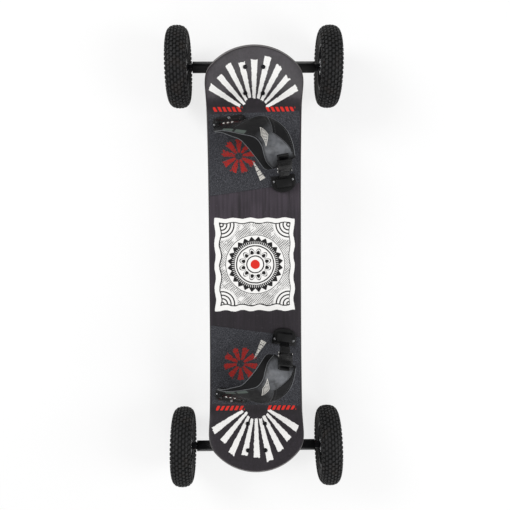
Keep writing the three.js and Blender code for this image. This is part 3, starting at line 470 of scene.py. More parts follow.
def lacquered(finish):
    """Charcoal lacquer over wood: fine and broad streaks along the deck, slow changes of tone and a few pale
    flecks. A painted sheen makes it a little lighter in the nose's half of the middle, and painted shade
    makes it darker in the tail's half and darkest where the deck bends."""
    streaks = finish.noise(1.3, 3, (1, 70, 1))
    broad = finish.noise(5, 3, (1, 45, 1))
    finish.lay((streaks + broad).over(1.0, 0.45), plum_grey)
    # painted sheen: a lighter band across the nose's half of the middle, where light glances off the lacquer
    lighter = finish.y.near(128, 60, 110) * 0.65
    finish.lay(lighter * broad.over(0.44, 0.3), 0x4B434C)
    # painted shade: darkest across each bend and darker over the tail's half of the middle, laid in soot
    # together with the slow random tone
    deep = abs(finish.y).near(368, 14, 30) * 0.7
    deep = deep.most(finish.y.under(-75, 60) * 0.42)
    slow = finish.noise(90, 2)
    finish.lay((slow.over(0.55, 0.3) * 0.4).most(deep), soot)
    flecks = finish.noise(1.4, 2, (1, 3, 1)).over(0.7, 0.08)
    finish.lay(flecks * 0.25, 0x7A737A)
    finish.bump(streaks, 0.03)
    finish.roughness(finish.noise(40, 3), 0.26, 0.44)


def tip_print(finish):
    """Masks of the prints at both tips: a fan of tapered brush strokes, and a row of slanted dashes."""
    wobble = finish.noise(7, 3)
    fan_middle = 350
    reach = abs(finish.y) - fan_middle
    radius, angle = polar(finish.x, reach)
    spacing = 15
    strokes = 4
    shifted = angle + spacing / 2
    number = shifted.cell(spacing)
    side = radius * abs(shifted.saw(spacing)).math("RADIANS") + wobble * 3.4
    half_stroke = radius * 0.052 + 2.6
    across = (half_stroke + finish.chance(number + 30) * 1.2 - side).over(0)
    near = (radius + wobble * 9 - finish.chance(number + 7) * 8).over(36, 0.7)
    far = (radius + wobble * 10 + finish.chance(number + 3) * 12).under(127, 0.7)
    fan = across * near * far * abs(angle).under((strokes + 0.5) * spacing)
    bristles = finish.noise(1.6, 2, (1, 1, 1), 0.4)
    fan = fan * (bristles - wobble * 0.5).under(0.52, 0.06)
    slant = finish.x + reach * 0.5 + wobble * 3
    dash_pitch, dash_half = 11.5, 3.4
    row = abs(reach - 12.5 + wobble * 2).under(5.4) * slant.lines(dash_pitch, dash_half, 0.5)
    return fan, row * abs(finish.x).under(98) * abs(finish.x).over(28)


def panel_print(finish):
    """Masks of the centre panel: its field, the black line work on it and the red middle.

    The frame is a rectangle with waved sides. Inside it are a toothed rosette of rings and petals on a ground
    of slanting hatch, and a quarter of four rings in each corner."""
    wobble = finish.noise(9, 2)
    half_across, half_along, towards_tail = 96, 111, 8.5
    x = finish.x
    y = finish.y + towards_tail
    wave = finish.x.sine(41) * 1.6 + finish.y.sine(53) * 1.8 + wobble * 2.4
    edge = (abs(x) - half_across).most(abs(y) - half_along) + wave
    radius, angle = polar(x, y)
    radius = radius + wobble * 1.6
    angle = angle + 180
    tooth = abs(angle.saw(15)) * (1 / 7.5)
    rim = (radius - tooth * -9).under(68) * radius.over(50)
    stipple = abs(angle.saw(5)).math("RADIANS") * radius
    spokes = stipple.under(0.6, 0.4) * radius.over(51) * radius.under(57)
    rings = radius.near(45.5, 1.5).most(radius.near(21, 1.4))
    petal = abs(angle.saw(30)) * (1 / 15)
    petals = (radius + petal * petal * 13).near(39, 1.2).most(
        (radius + petal * petal * 16).under(35) * (radius - petal * 3).over(25)
    )
    hatch = (x * 0.8 + y * 0.6).lines(3.6, 0.62) * finish.noise(14, 2).over(0.38, 0.1)
    across = (x * 0.6 - y * 0.8).lines(5.2, 0.5) * finish.noise(20, 2).over(0.49, 0.1)
    from_edge = 16
    corner_radius, _ = polar(abs(x) - (half_across - from_edge), abs(y) - (half_along - from_edge))
    quarters = corner_radius.lines(8.5, 1.6) * corner_radius.under(37)
    clear = corner_radius.over(38) * radius.over(73)
    ink = (rim - spokes).most(rings).most(petals).most(hatch.most(across) * clear).most(quarters)
    ink = ink.most(radius.near(71.5, 0.8)).most(edge.over(-13.2)) * edge.under(-11)
    return edge.under(0), ink, radius.under(12)


def top_finish():
    """The lacquered top with the prints of both tips and of the centre panel, worn away in fine specks."""
    finish = Finish("printed_lacquer", charcoal, specular_ior_level=0.45)
    lacquered(finish)
    fan, row = tip_print(finish)
    field, ink, middle = panel_print(finish)
    wear = finish.noise(0.9, 3).under(0.72, 0.08)
    finish.lay(field * wear, white)
    finish.lay(ink, soot)
    finish.lay(middle, red)
    finish.lay(fan * wear, white)
    finish.lay(row * wear, red)
    return finish.material


def under_finish():
    """The gloss underside: white with bold brushed chevrons from the nose, black with white rings and a red
    middle at the tail, divided by a large zigzag."""
    finish = Finish("gloss_underside", white, specular_ior_level=0.5, coat_weight=0.6, coat_roughness=0.08)
    wobble = finish.noise(8, 2)
    zigzag_place, chevron_pitch, rings_from_middle = -212, 92, 302
    teeth = abs(finish.x.saw(46)) * 1.5
    dark = (finish.y + teeth).under(zigzag_place)
    flight = (finish.y + abs(finish.x) * 0.8 + wobble * 6).saw(chevron_pitch)
    stroke = (abs(flight) + abs(finish.x) * 0.07).under(19)
    run = finish.y.over(-160) * finish.y.under(300) * (abs(finish.x) + wobble * 14).under(92)
    dots, _ = polar(finish.x, flight - 38)
    ring_radius, _ = polar(finish.x, finish.y + rings_from_middle)
    ring_radius = ring_radius + wobble * 2
    rings = ring_radius.lines(16, 3) * ring_radius.under(78) * ring_radius.over(14)
    finish.lay(dark, soot)
    finish.lay(stroke.most(flight.near(27, 2.4)) * run, soot)
    finish.lay(dots.under(4) * run, red)
    finish.lay(rings * dark, off_white)
    finish.lay(ring_radius.under(11), red)
    finish.roughness(finish.noise(50, 3), 0.14, 0.26)
    return finish.material


def ply_finish():
    """The edge: thin plies under dark stain, lighter and darker by turns, with a pale line near the top.
    Their number is read from a value that runs from 0 at the top to 1 at the underside."""
    finish = Finish("ply_edge", 0x2E2A2C, specular_ior_level=0.4)
    depth = finish.attribute("depth")
    fibre = finish.noise(1.4, 3, (6, 6, 0.4))
    plies = 7
    ply = (depth * plies + fibre * 0.25).math("FRACT").over(0.5, 0.12)
    finish.lay(ply, 0x433C3A)
    finish.lay(depth.under(0.03, 0.02), charcoal)
    finish.lay(depth.near(0.15, 0.05, 0.03), 0x7C7A7C)
    finish.bump(ply, 0.05)
    finish.roughness(fibre, 0.3, 0.5)
    return finish.material


def grip_finish():
    """Coarse grip sheet: dark grit with pale specks, a burst of red rays and a white wedge with three cuts
    in each foot's place."""
    finish = Finish("grip_grit", 0x29292D, specular_ior_level=0.25)
    grit = finish.cells(1.6)
    coarse = finish.noise(2.6, 3)
    finish.lay(coarse.over(0.5, 0.3), 0x414247)
    finish.lay(grit.under(0.26, 0.1) * coarse.over(0.47, 0.1) * 0.7, 0x7A7C83)
    wobble = finish.noise(5, 3)
    x, y = finish.x, abs(finish.y)
    radius, angle = polar(x + 37, y - 250)
    ray = abs((angle + 180).saw(40)).math("RADIANS") * radius + wobble * 5
    rays = (ray - radius * 0.17).under(3.4, 0.8) * (radius + wobble * 8).over(13, 0.8)
    rays = rays * (radius + wobble * 14).under(47, 0.8)
    beside = x * 0.88 + y * 0.47 - 108.3
    along = y * -0.88 + x * 0.47 + 212
    wedge = (along * 0.13 + 1.2 - abs(beside) - wobble * 0.8).over(0)
    wedge = wedge * along.over(0) * along.under(50, 0.6)
    cuts = abs((along + 3).saw(12)).over(0.8, 0.4)
    gaps = grit.under(0.66, 0.2)
    finish.lay(rays * gaps * 0.9, 0xB8251C)
    finish.lay(wedge * cuts * gaps, off_white)
    finish.bump(grit, 0.5)
    finish.bump(coarse, 0.4)
    finish.roughness(coarse, 0.75, 0.95)
    return finish.material


def metal_finish(name, dark, light, metallic, low, high, **constants):
    """Painted or plated metal: a mottled tone, a fine orange peel and smears of sheen."""
    finish = Finish(name, dark, metallic=metallic, **constants)
    finish.lay(finish.noise(6, 3).over(0.5), light)
    finish.bump(finish.noise(0.8, 2), 0.04)
    finish.roughness(finish.noise(18, 4), low, high)
    return finish.material


def tyre_finish():
    """Tyre rubber: dusty in patches, its knob tops paler than the hollows between them, and a little worn and
    brown along the crown.
    """
    finish = Finish("tyre_rubber", 0x080808, specular_ior_level=0.3)
    dust = finish.noise(9, 4)
    finish.lay(dust.over(0.5, 0.4), 0x141415)
    # knob tops paler than the hollows between them
    finish.lay(finish.attribute("lift") * 0.5, 0x2E2E2F)
    finish.lay(finish.noise(26, 3).over(0.6, 0.14) * 0.3, 0x332B26)
    finish.bump(finish.noise(0.7, 3), 0.12)
    finish.roughness(dust, 0.55, 0.8)
    return finish.material


def moulded_finish(name, dark, light, low, high):
    """Moulded plastic: even tone with faint flow marks and a fine spark-eroded grain."""
    finish = Finish(name, dark, specular_ior_level=0.35)
    flow = finish.noise(16, 2, (1, 1, 2), 0.6)
    finish.lay(flow.over(0.5), light)
    finish.bump(finish.noise(0.45, 2), 0.05)
    finish.roughness(flow, low, high)
    return finish.material


def elastomer_finish():
    """Cast urethane: red, turning orange in patches, and slightly waxy."""
    finish = Finish("elastomer", 0xC83A1E, specular_ior_level=0.5, subsurface_weight=0.15, coat_weight=0.2)
    patch = finish.noise(14, 2)
    finish.lay(patch.over(0.5, 0.4), 0xD65A2A)
    finish.bump(finish.noise(1.2, 2), 0.05)
    finish.roughness(patch, 0.35, 0.5)
    return finish.material


def side_of(along, across, first, second):
    """The distance of a place on the pad from the line through two others, positive to its left. A place is
    a share along the strap and a share across it."""
    start = np.array(first) * (Pad.length, Pad.width)
    run = np.array(second) * (Pad.length, Pad.width) - start
    run /= np.linalg.norm(run)
    return (along * Pad.length - start[0]) * -run[1] + (across * Pad.width - start[1]) * run[0]


def pad_finish():
    """The pad's cover: synthetic leather with a pebbled grain. Its panels are told apart by shares along and
    across the strap: a glossier panel over the instep with a painted grey sheen and a mottled painted
    highlight across it near its toe end, a plain one beyond the seam, a ribbed lobe by the hinge, two pale
    streaks of painted highlight on the rounded ankle edge and a small hatched lozenge. A share across under 0
    is the lining."""
    finish = Finish("pad_cover", 0x070708, specular_ior_level=0.25)
    along = finish.attribute("along")
    across = finish.attribute("across")
    cloud = finish.noise(12, 3)
    finish.lay(cloud.over(0.5), 0x121214)
    first, second, lobe = [side_of(along, across, *line) for line in Pad.lines]
    # painted sheen: the instep panel's grey is light reflected off the glossy leather, painted in as colour;
    # the panel is also made glossier below
    sheen = first.least(second).under(-1.5, 1.5) * along.over(0.62, 0.16) * along.under(0.95, 0.06)
    sheen = sheen * across.over(0.05, 0.08)
    # painted highlight: mottled, and brightest in a band across the panel near its toe end
    painted_shine = cloud.over(0.46, 0.35) * 0.7 + along.near(0.84, 0.05, 0.12) * 0.5
    finish.lay(sheen, finish.mix(painted_shine, 0x3C3D3F, 0x6E7074))
    # painted highlights: two pale streaks where light catches the rounded ankle edge
    painted_edge_glints = along.near(0.225, 0.07, 0.006).most(along.near(0.385, 0.06, 0.006))
    painted_edge_glints = painted_edge_glints * across.under(0.16, 0.02) * across.over(0.03, 0.02)
    finish.lay(painted_edge_glints * 0.4, 0x7F8F86)
    x = (along - 0.62) * Pad.length
    y = (across - 0.28) * Pad.width
    u = x * 0.86 - y * 0.51
    lozenge = abs(u) * 0.42 + abs(y * 0.86 + x * 0.51)
    emblem = (u.lines(3.4, 0.85, 0.3) * lozenge.under(7.5)).most(lozenge.near(9.7, 0.8, 0.3))
    finish.lay(emblem * across.over(-0.5, 0.2), off_white)
    finish.bump(finish.cells(1.3), 0.14)
    ribs = (along * Pad.length).sine(5) * lobe.over(3, 1) * across.over(0.2, 0.1)
    finish.bump(ribs, 0.25)
    finish.roughness((cloud + sheen * -0.35).most(0), 0.4, 0.72)
    return finish.material


def plain_finish(name, code, low, high, grain=1.0, depth=0.04, **constants):
    """A single tone that varies a little, with a fine relief."""
    colour = tone(code)
    finish = Finish(name, (*[c * 0.72 for c in colour[:3]], 1.0), **constants)
    vary = finish.noise(5, 3)
    finish.lay(vary.over(0.5, 0.6), colour)
    finish.bump(finish.noise(grain, 2), depth)
    finish.roughness(vary, low, high)
    return finish.material


printed_top = top_finish()
gloss_under = under_finish()
ply_edge = ply_finish()
grit = grip_finish()
black_coat = metal_finish("black_coat", 0x060608, 0x0D0D0F, 0.1, 0.3, 0.5, specular_ior_level=0.3)
black_steel = metal_finish("black_steel", 0x19191B, 0x28282B, 0.85, 0.28, 0.45)
plated_steel = metal_finish("plated_steel", 0x8E8E91, 0xB4B4B6, 1.0, 0.2, 0.38)
bright_steel = metal_finish("bright_steel", 0xD8D6D2, 0xF0EEEA, 0.7, 0.25, 0.4)
bearing_steel = metal_finish("bearing_steel", 0x9C9C9E, 0xC0C0C2, 1.0, 0.16, 0.3)
rubber = tyre_finish()
seal = plain_finish("seal", 0x1A1A1C, 0.45, 0.65)
hub_plastic = moulded_finish("hub_plastic", 0x0E0E0F, 0x161618, 0.32, 0.5)
moulded = moulded_finish("moulded_black", 0x060607, 0x0D0D0E, 0.26, 0.42)
urethane = elastomer_finish()
lining = plain_finish("pad_lining", 0x0D0D0F, 0.6, 0.85, 0.7, 0.12, specular_ior_level=0.22)
piping = plain_finish("pad_piping", 0x5E6063, 0.4, 0.6)
thread = plain_finish("thread", 0x55575A, 0.6, 0.8, 0.3, 0.1)


# The deck

class Deck:
    """Driving sizes of the deck, as in its solid."""

    length = 976
    thickness = 12
    waist = 221
    nose = 234
    tail = 232
    middle = 50
    camber = 12.4
    bend_start = 353
    bend_radius = 60
    tip_angle = math.radians(35)
    corner_reach = 432
    edge_round = 2.5
    top = mounts["deck_top_middle"]["pos_m"][2] / MM


camber_radius = (Deck.bend_start - Deck.middle / 2) ** 2 / (2 * Deck.camber)
camber_sweep = math.asin((Deck.bend_start - Deck.middle / 2) / camber_radius)
bend_place = Deck.middle / 2 + camber_radius * camber_sweep
tip_place = bend_place + Deck.bend_radius * (Deck.tip_angle + camber_sweep)


def deck_line(along):
    """Place, height and slope of the deck's top at a distance along it from the middle.

    Level in the middle, then an arc of the camber's radius down, an arc of the bend's radius up, and straight
    at the tip's angle."""
    side = np.where(along < 0, -1.0, 1.0)
    s = np.abs(along)
    sweep = np.clip((s - Deck.middle / 2) / camber_radius, 0, camber_sweep)
    bend = np.clip((s - bend_place) / Deck.bend_radius - camber_sweep, -camber_sweep, Deck.tip_angle)
    bent = s > bend_place
    straight = np.maximum(s - tip_place, 0)
    y = np.minimum(s, Deck.middle / 2) + camber_radius * np.sin(sweep)
    y += np.where(bent, Deck.bend_radius * (math.sin(camber_sweep) + np.sin(bend)), 0)
    y += straight * math.cos(Deck.tip_angle)
    z = Deck.top - camber_radius * (1 - np.cos(sweep))
    z += np.where(bent, Deck.bend_radius * (math.cos(camber_sweep) - np.cos(bend)), 0)
    z += straight * math.sin(Deck.tip_angle)
    return side * y, z, side * np.where(bent, bend, -sweep)


tip_foot = deck_line(np.array([tip_place]))[0][0]
deck_end = tip_place + (Deck.length / 2 - tip_foot) / math.cos(Deck.tip_angle)
corner_place = tip_place + (Deck.corner_reach - tip_foot) / math.cos(Deck.tip_angle)


def half_width(s, widest):
    """Half the deck's width at a distance s from its middle: a cubic flare from the waist to the corners, and
    the arc through both corners and the tip, blended over a few millimetres where they meet."""
    half = widest / 2
    waist = Deck.waist / 2
    rise = deck_end - corner_place
    arc = (half ** 2 + rise ** 2) / (2 * rise)
    flare = waist + (half - waist) * (s / corner_place) ** 3
    tip = np.sqrt(np.maximum(arc ** 2 - np.maximum(s - deck_end + arc, 0) ** 2, 0))
    blend = 15
    share = np.clip(0.5 + 0.5 * (tip - flare) / blend, 0, 1)
    return tip * (1 - share) + flare * share - blend * share * (1 - share)


def deck_outline():
    """The right half of the deck's outline, tail tip to nose tip: half widths and places along the deck."""
    body = np.linspace(0, bend_place, 70)[:-1]
    bend = np.linspace(bend_place, tip_place, 22)[:-1]
    denser_out = np.linspace(1, 0, 64) ** 2
    s = np.concatenate([body, bend, deck_end - (deck_end - tip_place) * denser_out])
    widths = np.concatenate([half_width(s, Deck.tail)[::-1], half_width(s, Deck.nose)[1:]])
    return widths, np.concatenate([-s[::-1], s[1:]])


def make_deck():
    """The deck: a top and an underside of straight lines across, joined round the edge by a strip whose
    section is two quarter rounds, each point moved in from the outline along the outline's own normal."""
    widths, places = deck_outline()
    rows = len(places)
    right = np.stack([widths, places], -1)
    loop = np.concatenate([right, right[-2:0:-1] * (-1, 1)])
    ahead = np.roll(loop, -1, 0) - np.roll(loop, 1, 0)
    normal = np.stack([ahead[:, 1], -ahead[:, 0]], -1)
    normal /= np.linalg.norm(normal, axis=1)[:, None]
    quarter = np.linspace(0, math.pi / 2, 6)
    inset = Deck.edge_round * np.concatenate([1 - np.sin(quarter), 1 - np.cos(quarter)])
    depth = np.concatenate([
        Deck.edge_round * (1 - np.cos(quarter)),
        Deck.thickness - Deck.edge_round * (1 - np.sin(quarter)),
    ])

    def placed(flat, below):
        y, z, slope = deck_line(flat[..., 1])
        return np.stack([flat[..., 0], y + below * np.sin(slope), z - below * np.cos(slope)], -1)

    count = len(loop)
    columns = 24
    share = np.linspace(-1, 1, columns + 1)[1:-1]
    top, side, under = range(3)
    points = [placed(loop - normal * i, d) for i, d in zip(inset, depth)]
    total = count * len(inset)
    faces = [(quads(len(inset), count, wrap_columns=True), side)]
    for ring, below, look in ((0, depth[0], top), (len(inset) - 1, depth[-1], under)):
        flat = (loop[:rows] - normal[:rows] * inset[ring])[1:-1]
        inner = np.stack([flat[:, :1] * share, np.repeat(flat[:, 1:], columns - 1, 1)], -1)
        points.append(placed(inner, below).reshape(-1, 3))
        number = np.zeros((rows, columns + 1), int)
        number[1:-1, 1:-1] = total + np.arange(inner.size // 2).reshape(inner.shape[:2])
        number[:, -1] = ring * count + np.arange(rows)
        number[1:-1, 0] = ring * count + count - np.arange(1, rows - 1)
        number[0] = number[0, -1]
        number[-1] = number[-1, -1]
        total += inner.size // 2
        cells = number.reshape(-1)[quads(rows, columns + 1)]
        first_row, last_row = cells[:columns, [0, 2, 3]], cells[-columns:, [0, 1, 2]]
        faces += [(cells[columns:-columns], look), (first_row, look), (last_row, look)]
    points = np.vstack(points)
    middle = points.mean(0)
    shell = Shell(1)
    shell.points.append(points)
    ring_depth = np.repeat(depth / Deck.thickness, count)
    shell.values.append(np.concatenate([ring_depth, np.zeros(len(points) - len(ring_depth))])[:, None])
    for group, look in faces:
        corners = points[group]
        facing = np.cross(corners[:, 1] - corners[:, 0], corners[:, 2] - corners[:, 0])
        outward = {top: (0, 0, 1), side: corners.mean(1) - middle, under: (0, 0, -1)}[look]
        shell.faces += (group[:, ::-1] if (facing * outward).sum() < 0 else group).tolist()
        shell.looks += [look] * len(group)
    piece_of("deck_board", shell, [printed_top, ply_edge, gloss_under], "board",
             ("deck",), 40, ["depth"])


# The wheels

class Tyre:
    """Driving sizes of the tyre."""

    half_width = 23.4
    widest = 71.5  # radius at which it is widest
    crown = 94.6
    bead = 52.3
    bead_half = 15
    squareness = 2.6
    wall_squareness = 2.5
    knob_height = 3.2
    pitches = 48
    column = 7.3  # spacing of the knobs across the tread
    columns = 4  # on each side of the middle one
    knob_across = 5.4
    knob_long = 0.65  # as a share of the pitch
    slope = 0.45
    ticks = (34.6, 38.2)  # where the short bars under the shoulder start and end
    tick_slope = 0.35
    ribs = (41.5, 47, 53)  # rings round the side wall
    rib_height = 0.6
    rib_half = 0.8


def tyre_section():
    """Half the tyre's section from the crown to the middle of the bead seat, with arc length, place and
    radius: a quarter of a superellipse, a quarter of another in to the bead, and the flat seat."""
    turn = np.linspace(0, math.pi / 2, 300)
    lower = turn[1:]
    power = 2 / Tyre.squareness
    seat = np.linspace(Tyre.bead_half, 0, 20)[1:]
    x = np.concatenate([
        Tyre.half_width * np.sin(turn) ** power,
        Tyre.bead_half + (Tyre.half_width - Tyre.bead_half) * np.cos(lower) ** (2 / Tyre.wall_squareness),
        seat,
    ])
    r = np.concatenate([
        Tyre.widest + (Tyre.crown - Tyre.widest) * np.cos(turn) ** power,
        Tyre.widest - (Tyre.widest - Tyre.bead) * np.sin(lower),
        np.full_like(seat, Tyre.bead),
    ])
    return np.concatenate([[0], np.cumsum(np.hypot(np.diff(x), np.diff(r)))]), x, r


def tyre_shell(centre, outside):
    """A tyre: its section swept round the axle, with staggered knobs raised along the section's normal. A
    knob is the product of two flat-topped steps, one along the tread and one across it."""
    length, x, r = tyre_section()
    edge = Tyre.knob_across / 2
    places = Tyre.column * np.arange(Tyre.columns + 1)
    steps = np.array([-edge - Tyre.slope, -edge + Tyre.slope, edge - Tyre.slope, edge + Tyre.slope])
    knobs = (places[:, None] + steps).reshape(-1)
    seat = length[-1]
    samples = np.concatenate([
        [0.0], knobs[knobs >= 0],
        np.linspace(knobs[-1], seat - Tyre.bead_half, 12)[1:],
        np.add.outer(Tyre.ticks, [-Tyre.tick_slope, Tyre.tick_slope]).reshape(-1),
        np.add.outer(Tyre.ribs, [-1.5, -0.7, 0, 0.7, 1.5]).reshape(-1),
        seat - Tyre.bead_half * np.array([0.5, 0.2]),
    ])
    samples = np.unique(np.round(samples, 4))
    half_x, half_r = np.interp(samples, length, x), np.interp(samples, length, r)
    along = np.concatenate([-samples[:0:-1], samples])
    section_x = np.concatenate([-half_x[:0:-1], half_x])
    section_r = np.concatenate([half_r[:0:-1], half_r])
    tangent_x, tangent_r = np.gradient(section_x), np.gradient(section_r)
    size = np.hypot(tangent_x, tangent_r)
    column_number = np.round(along / Tyre.column)
    off_column = np.abs(along - column_number * Tyre.column)
    across = np.clip((edge + Tyre.slope - off_column) / (2 * Tyre.slope), 0, 1)
    across = across * (np.abs(column_number) <= Tyre.columns)
    phases = np.array([0, 0.15, 0.2, 0.3, 0.35, 0.5, 0.65, 0.7, 0.8, 0.85])  # dense where knobs end
    turn = (np.arange(Tyre.pitches)[:, None] + phases).reshape(-1)
    phase = np.mod(turn[:, None] + np.where(np.mod(column_number, 2) == 1, 0.5, 0.0)[None], 1)
    off_row = np.minimum(phase, 1 - phase)
    rounding = 0.025
    down = np.clip((Tyre.knob_long / 2 + rounding - off_row) / (2 * rounding), 0, 1)
    lift = down * across[None]
    rib = sum(np.exp(-((np.abs(along) - place) / Tyre.rib_half) ** 2) for place in Tyre.ribs)
    tick = (np.abs(along) > Tyre.ticks[0]) & (np.abs(along) < Tyre.ticks[1])
    raised = Tyre.knob_height * lift + Tyre.rib_height * (rib[None] + down * tick[None])
    place = section_x - tangent_r / size * raised
    radius = section_r + tangent_x / size * raised
    angle = 2 * math.pi * turn[:, None] / Tyre.pitches
    rings = np.stack([
        centre[0] + outside * place,
        centre[1] + radius * np.sin(angle),
        centre[2] + radius * np.cos(angle),
    ], -1)
    shell = Shell(1)
    shell.ring(rings, 0, lift.reshape(-1, 1))
    return shell


class Hub:
    """Driving sizes of a hub half and of what it holds."""

    rim = 52
    wall = 4
    half_width = 17
    lip_height = 4.5
    lip_width = 3
    outside = 20
    split_start = 30  # where its profile starts and ends, on the face towards the other half
    boss = 20
    web = 9
    spokes = 5
    spoke_width = 15
    window_round = 5.0
    bore = 14.3
    shoulder = 10.5
    seat = 11.7
    middle = 0.15
    bolt_circle = 34
    rod = 6.25
    sleeve = 8.5
    sleeve_half = 12
    bearing = 14
    bearing_width = 8


def hub_mesh():
    """Half a hub about the x axis: a turned rim, web and boss, cut by windows between parallel-sided
    spokes."""
    inner = Hub.rim - Hub.wall
    lip = Hub.half_width + Hub.lip_width
    shell = Shell()
    shell.turn([
        [Hub.middle, Hub.split_start],
        [Hub.middle, Hub.rim],
        [Hub.half_width, Hub.rim],
        [Hub.half_width + Hub.lip_width / 2, Hub.rim + Hub.lip_height],
        [lip, Hub.rim + Hub.lip_height],
        [lip, inner],
        [Hub.web + 2, inner],
        [Hub.web, inner - 4],
        [Hub.web, Hub.boss + 3],
        [Hub.web + 3, Hub.boss],
        [Hub.outside, Hub.boss - 1],
        [Hub.outside, Hub.bore],
        [Hub.seat, Hub.bore],
        [Hub.seat, Hub.shoulder],
        [Hub.middle, Hub.shoulder],
        [Hub.middle, Hub.split_start],
    ], 0.9, (0, 0, 0), (1, 0, 0), 120)
    body = loose("hub_body", shell)
    step = 2 * math.pi / Hub.spokes
    low, high = Hub.boss + 4.5, inner - 1.5
    outline = []
    for radius, count, way in ((high, 15, 1), (low, 9, -1)):
        half_turn = step / 2 - math.asin(Hub.spoke_width / 2 / radius)
        angle = np.linspace(-half_turn, half_turn, count)[::way]
        outline.append(radius * np.stack([np.cos(angle), np.sin(angle)], -1))
    window = soft_polygon(np.vstack(outline), Hub.window_round)
    cutters = Shell()
    depths = (-5.0, Hub.outside + 5)
    for angle in step * np.arange(Hub.spokes):
        flat = window @ [[math.cos(angle), math.sin(angle)], [-math.sin(angle), math.cos(angle)]]
        cutters.tube(np.stack([np.insert(flat, 0, x, axis=1) for x in depths]))
    knife = loose("hub_windows", cutters)
    cut = body.modifiers.new("windows", "BOOLEAN")
    cut.operation = "DIFFERENCE"
    cut.solver = "EXACT"
    cut.object = knife
    rounded = body.modifiers.new("rounding", "BEVEL")
    rounded.width = 0.6
    rounded.segments = 2
    rounded.angle_limit = math.radians(40)
    graph = bpy.context.evaluated_depsgraph_get()
    graph.update()
    baked = bpy.data.meshes.new_from_object(body.evaluated_get(graph))
    bpy.data.objects.remove(body)
    bpy.data.objects.remove(knife)
    return baked


def make_wheel(end, side, hub):
    """A wheel: the tyre, both hub halves, the bearings with their seals and sleeve, and the hub's bolts."""
    where = f"{end}_{side}"
    outside = SIDES[side]
    centre = joint_at(f"spin_{where}")
    body = f"wheel_{where}"
    stand_in(f"tyre_{where}", tyre_shell(centre, outside), [rubber], body, 50, ["lift"])
    for half, over in (("outer", 0), ("inner", math.pi)):
        mesh = hub.copy()
        turn = Matrix.Rotation(math.pi if outside < 0 else 0, 4, "Z") @ Matrix.Rotation(over, 4, "Y")
        mesh.transform(Matrix.Translation(Vector(centre * MM)) @ Matrix.Scale(MM, 4) @ turn)
        mesh.materials.clear()
        mesh.materials.append(hub_plastic)
        mesh.shade_smooth()
        mesh.set_sharp_from_angle(angle=math.radians(32))
        linked(f"hub_{half}_{where}_look", mesh, body, (f"hub_{half}_{where}",))
    bearings, seals, bolts = Shell(), Shell(), Shell()
    face = Hub.outside
    back = face - Hub.bearing_width
    for facing in (-1, 1):
        axis = (facing, 0, 0)
        bearings.turn([
            [back, Hub.rod], [face, Hub.rod], [face, 8.2], [face - 0.7, 8.4], [face - 0.7, 11.8],
            [face, 12], [face, Hub.bearing], [back, Hub.bearing], [back, Hub.rod],
        ], 0.3, centre, axis, 48)
        seals.turn([
            [face - 0.9, 8.5], [face - 0.45, 8.7], [face - 0.45, 11.5], [face - 0.9, 11.7],
            [face - 1.5, 10], [face - 0.9, 8.5],
        ], 0.1, centre, axis, 48)
    reach = Hub.sleeve_half
    sleeve = [[-reach, Hub.rod], [-reach, Hub.sleeve], [reach, Hub.sleeve], [reach, Hub.rod]]
    bearings.ring(turned(sleeve, centre, (1, 0, 0), 48))
    for turn in 2 * math.pi / Hub.spokes * (np.arange(Hub.spokes) + 0.5):
        place = centre + Hub.bolt_circle * np.array([0, outside * math.cos(turn), math.sin(turn)])
        head = Hub.web + 2.6
        for facing in (-1, 1):
            bolts.turn([[Hub.web - 1, 3.6], [Hub.web + 2, 3.6], [head, 2.6], [head, 1.6],
                        [Hub.web + 1, 1.5]], 0.3, place, (facing, 0, 0), 24)
    piece_of(f"bearings_{where}", bearings, [bearing_steel], body, (f"bearing_set_{where}",))
    piece_of(f"seals_{where}", seals, [seal], body)
    piece_of(f"hub_bolts_{where}", bolts, [plated_steel], body)


# The trucks

class Truck:
    """Driving sizes of a truck, as in its solids: drops down from the deck's top, square to the tip, places
    along the tip and across it, and places along the axle."""

    kingpin_drop = 38
    kingpin_reach = 36.3
    kingpin_radius = 4.9
    head_radius = 9.5
    plate_drop = 12  # where a shock block leaves the board
    wing_drop = 45  # and where it meets the hanger
    bolt_pitch = 63.5
    bolt_spread = 41.3
    bolt_nut_drop = 7.3
    rod_end = 209.5
    rod_radius = 5.9
    nut_radius = 9.6
    lock_nut = 149.3
    axle_nut = 203.3
    clamp_bolt = 22


def truck_axes(end):
    """The truck's origin under the deck, and its own directions: out along the tip, and square to it."""
    sign = ENDS[end]
    sine, cosine = math.sin(Deck.tip_angle), math.cos(Deck.tip_angle)
    square = np.array([0, -sign * sine, cosine])
    origin = joint_at(f"steer_{end}") + Truck.kingpin_drop * square
    return origin, np.array([0, sign * cosine, sine]), square


def hexagon(centre, axis, radius, length):
    """Rings of a nut: a six-sided prism whose corners are drawn in at both ends, with a hole's rim inside."""
    rings = [(0, 0.93), (0.8, 1.0), (length - 0.8, 1.0), (length, 0.93), (length, 0.62), (length - 0.9, 0.56)]
    return turned([(a, radius * share) for a, share in rings], centre, axis, 6)


